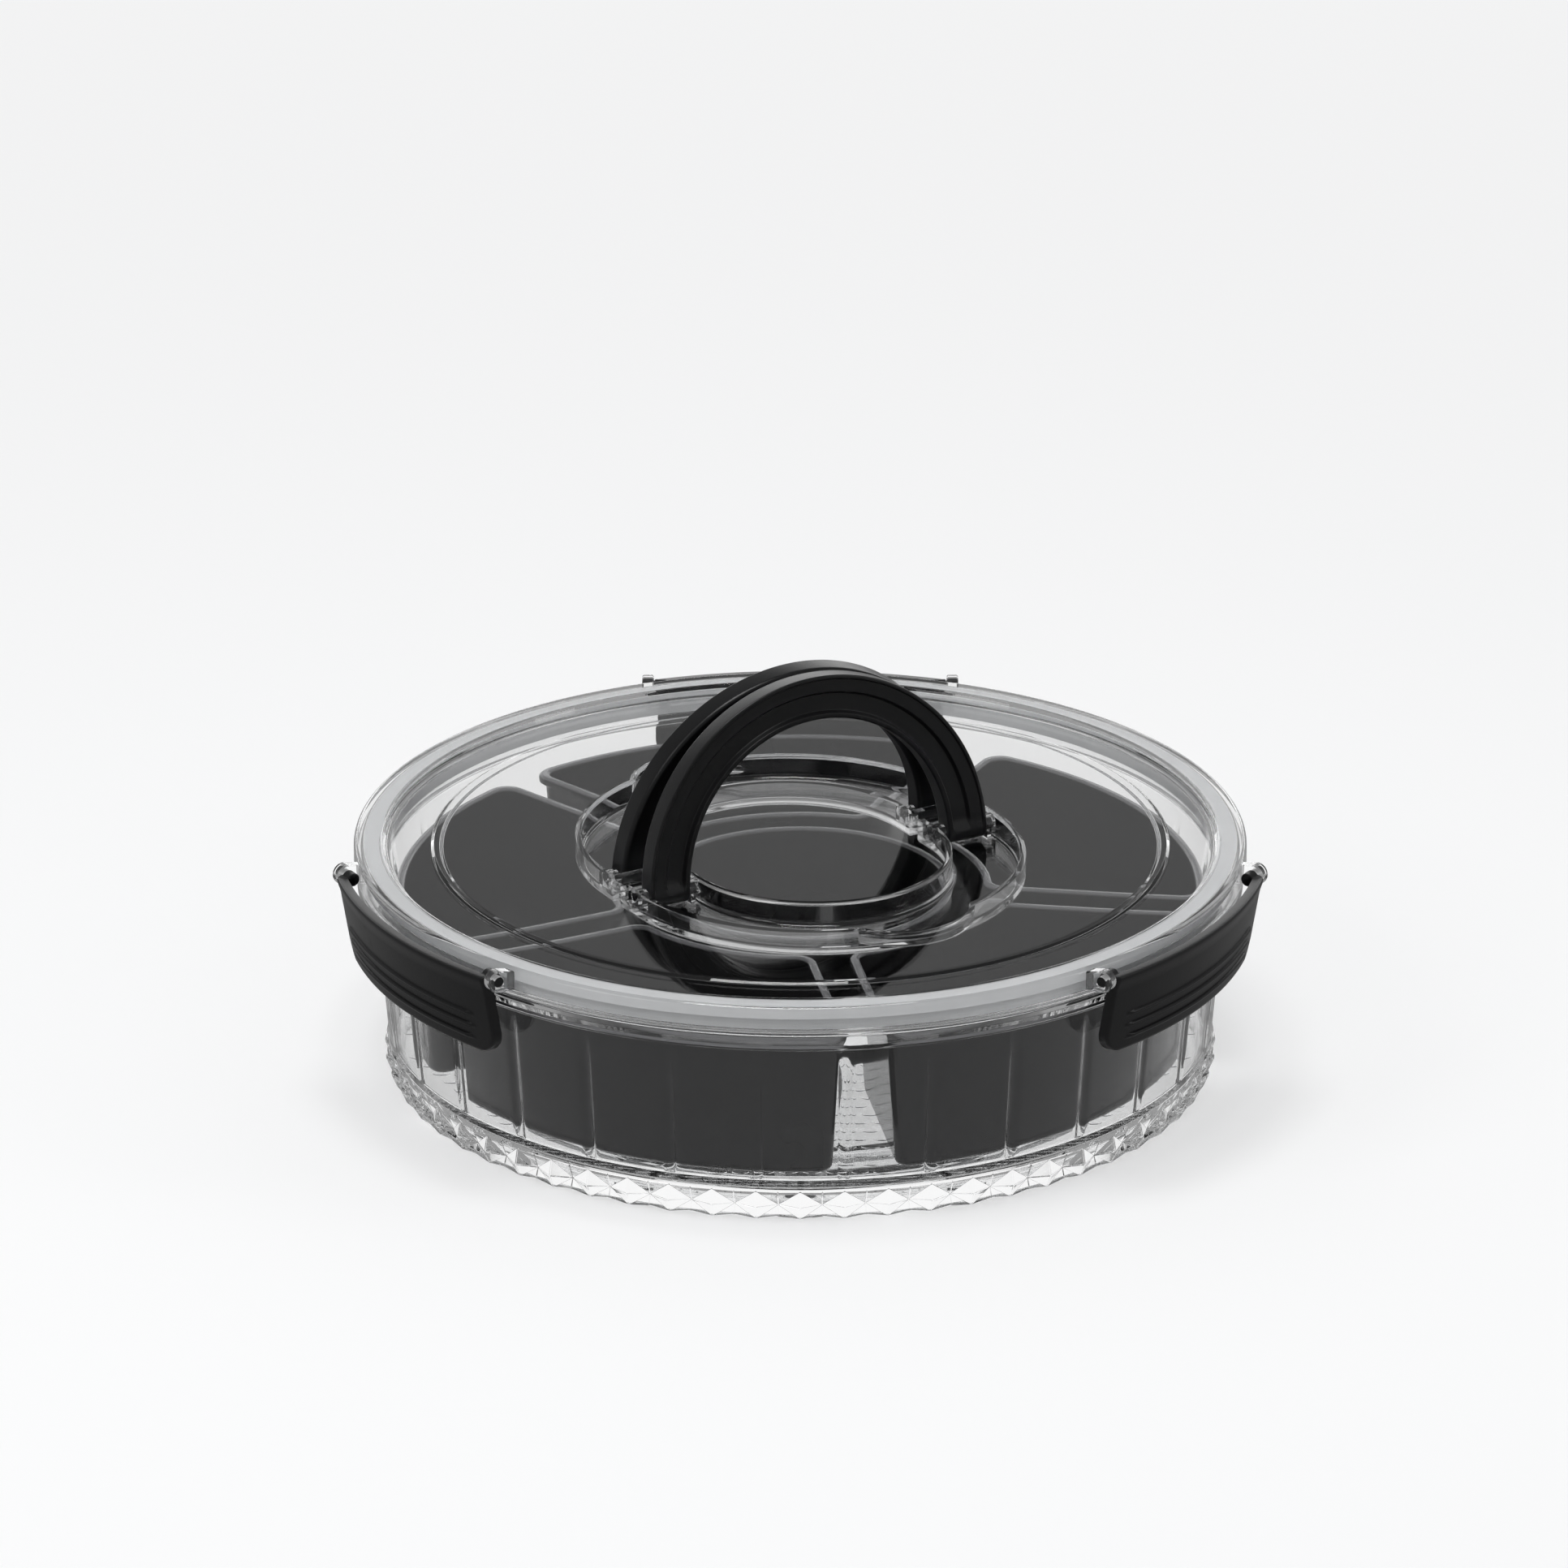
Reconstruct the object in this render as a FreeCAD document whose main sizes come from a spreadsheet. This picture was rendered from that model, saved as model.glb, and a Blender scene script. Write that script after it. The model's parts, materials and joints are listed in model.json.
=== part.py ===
import FreeCAD, Part
import math
import os
import re
import Sketcher

# Round storage caddy: a clear tray on a turntable, six black lift-out bins, and a clear lid
# with a folding twin handle and three clips. Millimetres, +Z up, origin on the floor under the axis.

doc = FreeCAD.newDocument("storage_caddy")
sheet = doc.addObject("Spreadsheet::Sheet", "sizes")

driving = {
    # clearances
    "flat_gap": 0.05,
    "seat_gap": 0.3,
    "pin_gap": 0.05,
    "ball_gap": 0.2,
    # feet and base
    "foot_radius": 7.0,
    "foot_height": 2.0,
    "foot_sink": 0.5,
    "foot_inset": 11.0,
    "foot_count": 6,
    "pad_radius": 12.0,
    "base_inset": 24.5,
    "base_plate": 2.0,
    "rib_inset": 24.5,
    "rib_width": 4.0,
    "rib_height": 5.9,
    "hub_radius": 9.0,
    "hub_height": 6.4,
    # ball bearing
    "ball_radius": 2.5,
    "ball_count": 6,
    "ball_inset": 6.0,
    "track_width": 9.0,
    "track_height": 3.5,
    "track_depth": 1.0,
    "cage_width": 7.0,
    "cage_height": 1.8,
    # turntable plate
    "deck_gap": 3.4,
    "deck_plate": 2.5,
    "deck_overhang": 0.5,
    "skirt_wall": 3.0,
    "skirt_clearance": 2.0,
    "skirt_taper": 1.0,
    "spigot_radius": 4.0,
    "spigot_reach": 6.1,
    # pivot fasteners
    "washer_radius": 5.25,
    "washer_plate": 0.8,
    "washer_recess": 6.0,
    "screw_radius": 1.5,
    "screw_length": 5.5,
    "screw_head_radius": 3.5,
    "screw_head": 1.8,
    # tray
    "tray_floor": 2.2,
    "tray_wall": 2.2,
    "tray_top_radius": 143.6,
    "wall_draft": 4.6,
    "wall_height": 53.1,
    "flange_reach": 5.4,
    "flange_height": 7.0,
    "lip_step": 2.2,
    "lip_wall": 3.0,
    "lip_height": 4.0,
    "rim_round": 1.2,
    # lift-out bins
    "bin_count": 5,
    "bin_turn": 27.4,
    "bin_height": 47.3,
    "cup_spacing": 9.7,
    "bin_spacing": 11.0,
    "bin_corner": 7.0,
    "bin_wall": 1.8,
    "bin_draft": 3.3,
    "bin_lip": 1.5,
    "bin_lip_height": 3.0,
    "bin_round": 2.5,
    "cup_radius": 51.8,
    # lid
    "lid_overhang": 1.0,
    "lid_band": 2.8,
    "lid_plate": 2.2,
    "lid_crest": 2.0,
    "crest_width": 11.0,
    "crest_round": 1.5,
    "step_inset": 27.0,
    "step_height": 0.8,
    "plug_wall": 2.0,
    "plug_reach": 8.5,
    "seal_height": 2.85,
    "seal_leg": 1.4,
    "seal_leg_reach": 5.5,
    # handle and its well
    "handle_turn": 210.0,
    "handle_radius": 65.0,
    "handle_width": 15.0,
    "handle_thickness": 8.0,
    "handle_offset": 10.0,
    "handle_drop": 4.0,
    "handle_round": 1.5,
    "grip_groove": 5.5,
    "grip_groove_depth": 1.4,
    "grip_groove_angle": 66.0,
    "pivot_pin": 1.8,
    "handle_pin_reach": 3.2,
    "socket_half": 3.2,
    "socket_gap": 0.4,
    "well_margin": 3.8,
    "well_floor_gap": 0.7,
    "well_back": 5.2,
    "well_wall": 2.0,
    "scoop_radius": 24.0,
    "scoop_bulge": 9.2,
    "scoop_depth": 5.0,
    # clips and their ears
    "ear_stand": 4.5,
    "ear_half_angle": 20.0,
    "ear_radius": 3.8,
    "ear_plate": 4.0,
    "ear_drop": 3.5,
    "ear_root": 6.7,
    "clip_count": 3,
    "clip_wall": 3.0,
    "clip_height": 29.5,
    "clip_rise": 1.0,
    "clip_lean": 5.0,
    "clip_barrel": 2.3,
    "clip_barrel_length": 4.0,
    "nose_height": 4.0,
    "nose_gap": 0.4,
}

# radii that follow from others, so that the pieces keep together when one size changes
derived = {
    "flange_radius": "tray_top_radius + flange_reach",
    "lip_radius": "tray_top_radius + lip_step",
    "tray_bottom_radius": "tray_top_radius - wall_draft",
    "lid_radius": "flange_radius + lid_overhang",
    "step_radius": "lid_radius - step_inset",
    "ear_pitch_radius": "lid_radius + ear_stand",
    "clip_inner_radius": "ear_pitch_radius",
    "bin_radius": "tray_bottom_radius - tray_wall - seat_gap",
    "bin_inner_radius": "cup_radius + cup_spacing",
    "deck_radius": "tray_bottom_radius + deck_overhang",
    "base_radius": "deck_radius - base_inset",
    "foot_circle": "base_radius - foot_inset",
    "rib_radius": "base_radius - rib_inset",
    "ball_circle": "base_radius - ball_inset",
    "scoop_reach": "handle_offset + handle_radius + well_margin + scoop_bulge",
}

bin_names = ["bin_right", "bin_back", "bin_left", "bin_front_left", "bin_front_right"]
clip_names = ["clip_back", "clip_left", "clip_right"]
handle_names = ["handle_front", "handle_rear"]

for row, (alias, value) in enumerate(driving.items(), start=1):
    sheet.set(f"A{row}", str(value))
    sheet.setAlias(f"A{row}", alias)
doc.recompute()


def bound(text):
    """The expression with every size written as a cell of the sheet."""
    def cell(match):
        name = match[0]
        if name in derived:
            return f"({bound(derived[name])})"
        return f"sizes.{name}" if name in driving else name

    return re.sub(r"[a-z][a-z_]*", cell, str(text))


def number(text):
    value = sheet.evalExpression(bound(text))
    return float(getattr(value, "Value", value))


# Levels and radii that several pieces share, each worked out from the sheet.
base_bottom = "(foot_height - foot_sink)"
base_top = f"({base_bottom} + base_plate)"
track_top = f"({base_top} + track_height)"
ball_level = f"({track_top} - track_depth + ball_gap + ball_radius)"
deck_bottom = f"({track_top} + deck_gap)"
deck_top = f"({deck_bottom} + deck_plate)"
spigot_bottom = f"({deck_bottom} - spigot_reach)"
washer_bottom = f"({spigot_bottom} - washer_plate)"
floor_top = f"({deck_top} + tray_floor)"
flange_bottom = f"({deck_top} + wall_height)"
flange_top = f"({flange_bottom} + flange_height)"
lip_top = f"({flange_top} + lip_height)"
bin_bottom = f"({floor_top} + seat_gap)"
bin_top = f"({bin_bottom} + bin_height)"
bin_inside = f"({bin_bottom} + bin_wall)"
seal_bottom = f"({lip_top} + flat_gap)"
seal_top = f"({seal_bottom} + seal_height)"
crest_bottom = f"({seal_top} + flat_gap)"
crest_top = f"({crest_bottom} + lid_crest)"
lid_bottom = f"({flange_top} + flat_gap)"
plate_top = f"({crest_bottom})"
plate_bottom = f"({plate_top} - lid_plate)"
plug_radius = "(lip_radius - lip_wall - seal_leg - seat_gap - flat_gap)"
plug_bottom = f"({lip_top} - plug_reach)"
pivot_level = f"({plate_top} - handle_drop)"
well_floor = f"({pivot_level} - handle_thickness / 2 - well_floor_gap)"
well_inner = "(handle_radius - handle_width - well_margin)"
well_outer = "(handle_radius + well_margin)"
clip_axis = "(ear_pitch_radius * cos(ear_half_angle))"
clip_level = f"({crest_top} - ear_drop)"
ear_inner = "(ear_pitch_radius * sin(ear_half_angle) - ear_plate / 2)"
clip_half = f"({ear_inner} - seat_gap)"
clip_top = f"({clip_level} + clip_rise)"
clip_bottom = f"({clip_top} - clip_height)"


def new_body(label, placement=None):
    body = doc.addObject("PartDesign::Body", label)
    body.Label = label
    if placement is not None:
        body.Placement = placement
    return body


def turned(angle, offset=(0, 0, 0), tilt=0.0):
    """A place on the caddy: tilted about its own X axis, moved out, then turned about the main axis."""
    about_x = FreeCAD.Rotation(FreeCAD.Vector(1, 0, 0), tilt)
    local = FreeCAD.Placement(FreeCAD.Vector(*offset), about_x)
    about_z = FreeCAD.Rotation(FreeCAD.Vector(0, 0, 1), angle)
    return FreeCAD.Placement(FreeCAD.Vector(0, 0, 0), about_z).multiply(local)


def sketch_on(body, name, plane, level=None):
    sketch = body.newObject("Sketcher::SketchObject", name)
    support = next(item for item in body.Origin.OriginFeatures if item.Role == plane)
    sketch.AttachmentSupport = (support, [""])
    sketch.MapMode = "FlatFace"
    if level is not None:
        sketch.setExpression("AttachmentOffset.Base.z", bound(level))
    return sketch


def pin_point(sketch, edge, end, across, up):
    """Dimension one corner of an outline from the sketch's origin."""
    for kind, axis, text in (("DistanceX", -2, across), ("DistanceY", -1, up)):
        value = number(text)
        if abs(value) < 1e-9:
            sketch.addConstraint(Sketcher.Constraint("PointOnObject", edge, end, axis))
        else:
            index = sketch.addConstraint(Sketcher.Constraint(kind, -1, 1, edge, end, value))
            sketch.setExpression(f"Constraints[{index}]", bound(text))


def outline(sketch, corners, arcs=None):
    """Close a loop through corners; arcs gives some edges a radius and the side their centre is on."""
    arcs = arcs or {}
    points = [FreeCAD.Vector(number(x), number(y), 0) for x, y in corners]
    count = len(corners)
    ends = []
    for i, start in enumerate(points):
        stop = points[(i + 1) % count]
        if i not in arcs:
            edge = sketch.addGeometry(Part.LineSegment(start, stop))
            ends.append((edge, 1, 2))
            continue
        text, side = arcs[i]
        radius = number(text)
        chord = stop - start
        left = FreeCAD.Vector(-chord.y, chord.x, 0).normalize()
        rise = math.sqrt(max(radius**2 - (chord.Length / 2) ** 2, 0))
        centre = (start + stop) * 0.5 + left * (side * rise)
        first, last = (start, stop) if side > 0 else (stop, start)
        angles = [math.atan2(p.y - centre.y, p.x - centre.x) for p in (first, last)]
        circle = Part.Circle(centre, FreeCAD.Vector(0, 0, 1), radius)
        edge = sketch.addGeometry(Part.ArcOfCircle(circle, *angles))
        ends.append((edge, 1, 2) if side > 0 else (edge, 2, 1))
        index = sketch.addConstraint(Sketcher.Constraint("Radius", edge, radius))
        sketch.setExpression(f"Constraints[{index}]", bound(text))
    for i, (edge, start, stop) in enumerate(ends):
        following = ends[(i + 1) % count]
        sketch.addConstraint(Sketcher.Constraint("Coincident", edge, stop, following[0], following[1]))
        pin_point(sketch, edge, start, *corners[i])


def circle_at(sketch, across, up, radius):
    place = FreeCAD.Vector(number(across), number(up), 0)
    size = number(radius)
    edge = sketch.addGeometry(Part.Circle(place, FreeCAD.Vector(0, 0, 1), size))
    pin_point(sketch, edge, 3, across, up)
    index = sketch.addConstraint(Sketcher.Constraint("Radius", edge, size))
    sketch.setExpression(f"Constraints[{index}]", bound(radius))


def revolve(body, name, corners, arcs=None):
    sketch = sketch_on(body, f"{name}_profile", "XZ_Plane")
    outline(sketch, corners, arcs)
    feature = body.newObject("PartDesign::Revolution", name)
    feature.Profile = sketch
    feature.ReferenceAxis = (sketch, ["V_Axis"])
    feature.Angle = 360.0
    doc.recompute()
    return feature


def extrude(body, name, sketch, length, kind="Pad", back=False):
    """Pad or pocket a sketch; a pocket has to take something away."""
    before = body.Shape.Volume if kind == "Pocket" else 0.0
    feature = body.newObject(f"PartDesign::{kind}", name)
    feature.Profile = sketch
    feature.Reversed = back
    feature.setExpression("Length", bound(length))
    doc.recompute()
    if kind == "Pocket" and body.Shape.Volume >= before:
        raise ValueError(f"{name} cuts nothing")
    return feature


def polar(body, name, originals, count):
    axis = next(item for item in body.Origin.OriginFeatures if item.Role == "Z_Axis")
    pattern = body.newObject("PartDesign::PolarPattern", name)
    pattern.Originals = originals
    pattern.Axis = (axis, [""])
    pattern.Angle = 360.0
    pattern.setExpression("Occurrences", bound(count))
    body.Tip = pattern
    doc.recompute()
    return pattern


def round_edges(body, name, base, chosen, radius):
    """Round the edges of a feature that the test chooses."""
    names = [f"Edge{i}" for i, edge in enumerate(base.Shape.Edges, start=1) if chosen(edge)]
    fillet = body.newObject("PartDesign::Fillet", name)
    fillet.Base = (base, names)
    fillet.setExpression("Radius", bound(radius))
    doc.recompute()
    return fillet


def ring_of(label, kind, count, circle, level, settings, middle=None):
    """Separate equal solids on a circle, with one in the middle if asked, kept together as one group."""
    members = []
    for i in range(int(number(count))):
        solid = doc.addObject(f"Part::{kind}", f"{label}_{i + 1}")
        for prop, text in settings.items():
            solid.setExpression(prop, bound(text))
        angle = f"{i} * 360 / {count}"
        solid.setExpression("Placement.Base.x", bound(f"{circle} * cos({angle})"))
        solid.setExpression("Placement.Base.y", bound(f"{circle} * sin({angle})"))
        solid.setExpression("Placement.Base.z", bound(level))
        members.append(solid)
    if middle:
        solid = doc.addObject(f"Part::{kind}", f"{label}_middle")
        for prop, text in middle.items():
            solid.setExpression(prop, bound(text))
        members.append(solid)
    group = doc.addObject("Part::Compound", label)
    group.Label = label
    group.Links = members
    doc.recompute()
    return group


def make_base():
    body = new_body("base")
    track_in = "(ball_circle - track_width / 2)"
    track_out = "(ball_circle + track_width / 2)"
    groove_in = "(ball_circle - ball_radius + ball_gap)"
    groove_out = "(ball_circle + ball_radius - ball_gap)"
    groove_level = f"({track_top} - track_depth)"
    rib_in = "(rib_radius - rib_width / 2)"
    rib_out = "(rib_radius + rib_width / 2)"
    rib_level = f"({base_top} + rib_height)"
    hub_level = f"({base_top} + hub_height)"
    bore = "(spigot_radius + pin_gap)"
    ledge = f"({spigot_bottom} + ball_gap)"
    revolve(body, "base_turned", [
        ("washer_recess", base_bottom), ("base_radius", base_bottom), ("base_radius", base_top),
        (track_out, base_top), (track_out, track_top), (groove_out, track_top),
        (groove_out, groove_level), (groove_in, groove_level), (groove_in, track_top),
        (track_in, track_top), (track_in, base_top), (rib_out, base_top), (rib_out, rib_level),
        (rib_in, rib_level), (rib_in, base_top), ("hub_radius", base_top), ("hub_radius", hub_level),
        (bore, hub_level), (bore, ledge), ("washer_recess", ledge),
    ])
    seat = sketch_on(body, "foot_seat_outline", "XY_Plane", base_bottom)
    circle_at(seat, "foot_circle", "0", "foot_radius + flat_gap")
    pocket = extrude(body, "foot_seat", seat, "foot_sink", "Pocket", back=True)
    polar(body, "foot_seats", [pocket], "foot_count")
    return body


def make_cage():
    body = new_body("ball_cage")
    inner, outer = "(ball_circle - cage_width / 2)", "(ball_circle + cage_width / 2)"
    low = f"({ball_level} - cage_height / 2 - ball_gap)"
    high = f"({low} + cage_height)"
    revolve(body, "cage_ring", [(inner, low), (outer, low), (outer, high), (inner, high)])
    window = sketch_on(body, "ball_window_outline", "XY_Plane", low)
    circle_at(window, "ball_circle", "0", "ball_radius + ball_gap")
    pocket = extrude(body, "ball_window", window, "cage_height", "Pocket", back=True)
    polar(body, "ball_windows", [pocket], "ball_count")
    return body


def make_deck():
    body = new_body("deck")
    groove_in = "(ball_circle - ball_radius + ball_gap)"
    groove_out = "(ball_circle + ball_radius - ball_gap)"
    groove_level = f"({ball_level} + ball_radius + ball_gap)"
    skirt_in = "(deck_radius - skirt_wall)"
    pilot = "(screw_radius + pin_gap)"
    pilot_top = f"({spigot_bottom} + screw_length + seat_gap)"
    revolve(body, "deck_turned", [
        (pilot, spigot_bottom), ("spigot_radius", spigot_bottom), ("spigot_radius", deck_bottom),
        (groove_in, deck_bottom), (groove_in, groove_level), (groove_out, groove_level),
        (groove_out, deck_bottom), (skirt_in, deck_bottom),
        (f"{skirt_in} - skirt_taper", "skirt_clearance"),
        ("deck_radius - skirt_taper", "skirt_clearance"), ("deck_radius", deck_top),
        ("0", deck_top), ("0", pilot_top), (pilot, pilot_top),
    ])
    return body


def make_washer():
    body = new_body("pivot_washer")
    hole = "(screw_radius + pin_gap)"
    revolve(body, "washer_turned", [
        (hole, washer_bottom), ("washer_radius", washer_bottom),
        ("washer_radius", spigot_bottom), (hole, spigot_bottom),
    ])
    return body


def make_screw():
    body = new_body("pivot_screw")
    head_bottom = f"({washer_bottom} - screw_head)"
    tip = f"({spigot_bottom} + screw_length)"
    slope = "(screw_head / 2)"
    revolve(body, "screw_turned", [
        ("0", head_bottom), (f"screw_head_radius - {slope}", head_bottom),
        ("screw_head_radius", f"{head_bottom} + {slope}"), ("screw_head_radius", washer_bottom),
        ("screw_radius", washer_bottom), ("screw_radius", tip), ("0", tip),
    ])
    return body


def make_tray():
    body = new_body("tray")
    lip_in = "(lip_radius - lip_wall)"
    lip_foot = f"({flange_bottom} + flange_height / 2)"
    revolve(body, "tray_turned", [
        ("0", deck_top), ("tray_bottom_radius", deck_top), ("tray_top_radius", flange_bottom),
        ("flange_radius - rim_round", flange_bottom), ("flange_radius", f"{flange_bottom} + rim_round"),
        ("flange_radius", f"{flange_top} - rim_round"), ("flange_radius - rim_round", flange_top),
        ("lip_radius", flange_top), ("lip_radius", f"{lip_top} - rim_round"),
        ("lip_radius - rim_round", lip_top), (f"{lip_in} + rim_round", lip_top),
        (lip_in, f"{lip_top} - rim_round"), (lip_in, lip_foot),
        ("tray_top_radius - tray_wall", flange_bottom),
        ("tray_bottom_radius - tray_wall", floor_top), ("0", floor_top),
    ], {3: ("rim_round", 1), 5: ("rim_round", 1), 8: ("rim_round", 1), 10: ("rim_round", 1)})
    return body


def wedge(inset, corner):
    """Plan of a bin about the X axis, drawn in from its rim by inset, with rounded corners."""
    half = "(180 deg / bin_count)"
    side = f"(bin_spacing / 2 + {inset})"
    outer = f"(bin_radius - {inset})"
    inner = f"(bin_inner_radius + {inset})"
    turn_out = f"({half} - asin(({side} + {corner}) / ({outer} - {corner})))"
    turn_in = f"({half} - asin(({side} + {corner}) / ({inner} + {corner})))"
    out_x = f"(({outer} - {corner}) * cos({turn_out}) - {corner} * sin({half}))"
    out_y = f"(({outer} - {corner}) * sin({turn_out}) + {corner} * cos({half}))"
    in_x = f"(({inner} + {corner}) * cos({turn_in}) - {corner} * sin({half}))"
    in_y = f"(({inner} + {corner}) * sin({turn_in}) + {corner} * cos({half}))"
    upper = [
        (f"{outer} * cos({turn_out})", f"{outer} * sin({turn_out})"), (out_x, out_y),
        (in_x, in_y), (f"{inner} * cos({turn_in})", f"{inner} * sin({turn_in})"),
    ]
    lower = [(x, f"-({y})") for x, y in reversed(upper)]
    arcs = {edge: (corner, 1) for edge in (0, 2, 4, 6)}
    arcs[3] = (inner, -1)
    arcs[7] = (outer, 1)
    return upper + lower, arcs


def loft(body, name, stages, kind="AdditiveLoft"):
    before = body.Shape.Volume if kind == "SubtractiveLoft" else 0.0
    sketches = []
    for i, (inset, corner, level) in enumerate(stages):
        sketch = sketch_on(body, f"{name}_{i}", "XY_Plane", level)
        outline(sketch, *wedge(inset, corner))
        sketches.append(sketch)
    feature = body.newObject(f"PartDesign::{kind}", name)
    feature.Profile = sketches[0]
    feature.Sections = sketches[1:]
    feature.Ruled = True
    doc.recompute()
    if kind == "SubtractiveLoft" and body.Shape.Volume >= before:
        raise ValueError(f"{name} cuts nothing")
    return feature


def make_bin(label, index):
    step = 360 / number("bin_count")
    body = new_body(label, turned(number("bin_turn") + index * step))
    drawn_in = "(bin_lip + bin_draft)"
    corner = "(bin_corner - bin_lip)"
    eased = "(bin_round * (1 - sqrt(0.5)))"
    loft(body, "bin_shell", [
        (f"({drawn_in} + bin_round)", corner, bin_bottom),
        (f"({drawn_in} + {eased})", corner, f"{bin_bottom} + {eased}"),
        (drawn_in, corner, f"{bin_bottom} + bin_round"),
        ("bin_lip", corner, bin_top),
    ])
    rim = sketch_on(body, "bin_rim_outline", "XY_Plane", f"{bin_top} - bin_lip_height")
    outline(rim, *wedge("0", "bin_corner"))
    extrude(body, "bin_rim", rim, "bin_lip_height")
    inside = "(bin_corner - bin_lip - bin_wall)"
    loft(body, "bin_inside", [
        (f"({drawn_in} + bin_wall + bin_round / 2)", inside, bin_inside),
        (f"({drawn_in} + bin_wall)", inside, f"{bin_inside} + bin_round / 2"),
        ("(bin_lip + bin_wall)", inside, bin_top),
    ], "SubtractiveLoft")
    return body


def make_cup():
    body = new_body("centre_cup")
    wall = "(cup_radius - bin_lip)"
    foot = f"({wall} - bin_draft)"
    lip_level = f"({bin_top} - bin_lip_height)"
    # the wall's outside where the rim starts, on the slope from foot to top
    shoulder = f"({wall} - bin_draft * bin_lip_height / bin_height)"
    revolve(body, "cup_turned", [
        ("0", bin_bottom), (f"{foot} - bin_round", bin_bottom), (foot, f"{bin_bottom} + bin_round"),
        (shoulder, lip_level), ("cup_radius", lip_level), ("cup_radius", bin_top),
        (f"{wall} - bin_wall", bin_top), (f"{foot} - bin_wall", bin_inside), ("0", bin_inside),
    ], {1: ("bin_round", 1)})
    return body


def make_seal():
    body = new_body("lid_seal")
    inner = f"({plug_radius} + flat_gap)"
    outer = "(lid_radius - lid_band - 2 * seat_gap)"
    leg = f"({inner} + seal_leg)"
    leg_bottom = f"({lip_top} - seal_leg_reach)"
    revolve(body, "seal_turned", [
        (inner, leg_bottom), (leg, leg_bottom), (leg, seal_bottom), (outer, seal_bottom),
        (outer, seal_top), (inner, seal_top),
    ])
    return body


def well_plan(grow):
    """Plan of one half of the handle well, lying on the +Y side of the hinge line."""
    outer = f"({well_outer} + {grow})"
    inner = f"({well_inner} - {grow})"
    back = f"(handle_offset - well_back - {grow})"
    axis = "handle_offset"
    corners = [
        (outer, back), (outer, axis), ("0", f"{axis} + {outer}"), (f"-{outer}", axis), (f"-{outer}", back),
        (f"-{inner}", back), (f"-{inner}", axis), ("0", f"{axis} + {inner}"), (inner, axis), (inner, back),
    ]
    return corners, {1: (outer, 1), 2: (outer, 1), 6: (inner, -1), 7: (inner, -1)}


def scoop_plan(grow):
    """Finger scoop outside the well: the outer part of a circle, cut off inside the well."""
    radius = f"(scoop_radius + {grow})"
    centre = "(scoop_reach - scoop_radius)"
    chord = f"(handle_offset + {well_outer} - well_margin)"
    half = f"sqrt({radius} * {radius} - ({chord} - {centre}) * ({chord} - {centre}))"
    corners = [(half, chord), ("0", f"scoop_reach + {grow}"), (f"-{half}", chord)]
    return corners, {0: (radius, 1), 1: (radius, 1)}


def make_lid():
    body = new_body("lid", turned(number("handle_turn")))
    band_in = "(lid_radius - lid_band)"
    crest_in = "(lid_radius - crest_width)"
    plug_in = f"({plug_radius} - plug_wall)"
    low_plate = f"({plate_top} - step_height)"
    revolve(body, "lid_turned", [
        ("0", plate_top), ("step_radius", plate_top), ("step_radius + step_height", low_plate),
        (crest_in, low_plate), (f"{crest_in} + crest_round", crest_top),
        ("lid_radius - crest_round", crest_top), ("lid_radius", f"{crest_top} - crest_round"),
        ("lid_radius", lid_bottom), (band_in, lid_bottom), (band_in, crest_bottom),
        (plug_radius, crest_bottom), (plug_radius, plug_bottom), (plug_in, plug_bottom),
        (plug_in, f"{low_plate} - lid_plate"), ("step_radius - lid_plate", f"{low_plate} - lid_plate"),
        ("step_radius - lid_plate - step_height", plate_bottom), ("0", plate_bottom),
    ], {5: ("crest_round", -1)})
    halves = []
    for name, plan, level, top in (
        ("well_shell", well_plan("well_wall"), f"{well_floor} - well_wall", plate_bottom),
        ("scoop_shell", scoop_plan("well_wall"), f"{plate_top} - scoop_depth - well_wall", plate_bottom),
    ):
        sketch = sketch_on(body, f"{name}_plan", "XY_Plane", level)
        outline(sketch, *plan)
        halves.append(extrude(body, name, sketch, f"{top} - ({level})"))
    polar(body, "well_shells", halves, len(handle_names))
    halves = []
    for name, plan, depth in (
        ("well", well_plan("0"), f"{plate_top} - {well_floor}"),
        ("scoop", scoop_plan("0"), "scoop_depth"),
    ):
        sketch = sketch_on(body, f"{name}_plan", "XY_Plane", plate_top)
        outline(sketch, *plan)
        halves.append(extrude(body, name, sketch, depth, "Pocket"))
    polar(body, "wells", halves, len(handle_names))
    sockets = [make_socket(body, name, start, stop) for name, start, stop in (
        ("socket_inner", f"{well_inner} - flat_gap", "handle_radius - handle_width - socket_gap"),
        ("socket_outer", "handle_radius + socket_gap", f"{well_outer} + flat_gap"),
        ("socket_inner_far", "handle_width + socket_gap - handle_radius", f"flat_gap - {well_inner}"),
        ("socket_outer_far", f"-{well_outer} - flat_gap", "-handle_radius - socket_gap"),
    )]
    polar(body, "sockets", sockets, len(handle_names))
    ears = []
    for name, start in (("ear_near", ear_inner), ("ear_far", f"-({ear_inner} + ear_plate)")):
        ears.append(make_ear(body, name, start))
    polar(body, "ears", ears, "clip_count")
    return body


def make_socket(body, name, start, stop):
    """A bearing block in the well for one pin of a handle half, from start to stop along the hinge."""
    sketch = sketch_on(body, f"{name}_section", "YZ_Plane", start)
    low = f"({well_floor} - flat_gap)"
    left, right = "(handle_offset - socket_half)", "(handle_offset + socket_half)"
    outline(sketch, [
        (left, low), (right, low), (right, pivot_level),
        ("handle_offset", f"{pivot_level} + socket_half"), (left, pivot_level),
    ], {2: ("socket_half", 1), 3: ("socket_half", 1)})
    circle_at(sketch, "handle_offset", pivot_level, "pivot_pin + pin_gap")
    return extrude(body, name, sketch, f"{stop} - ({start})")


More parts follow.
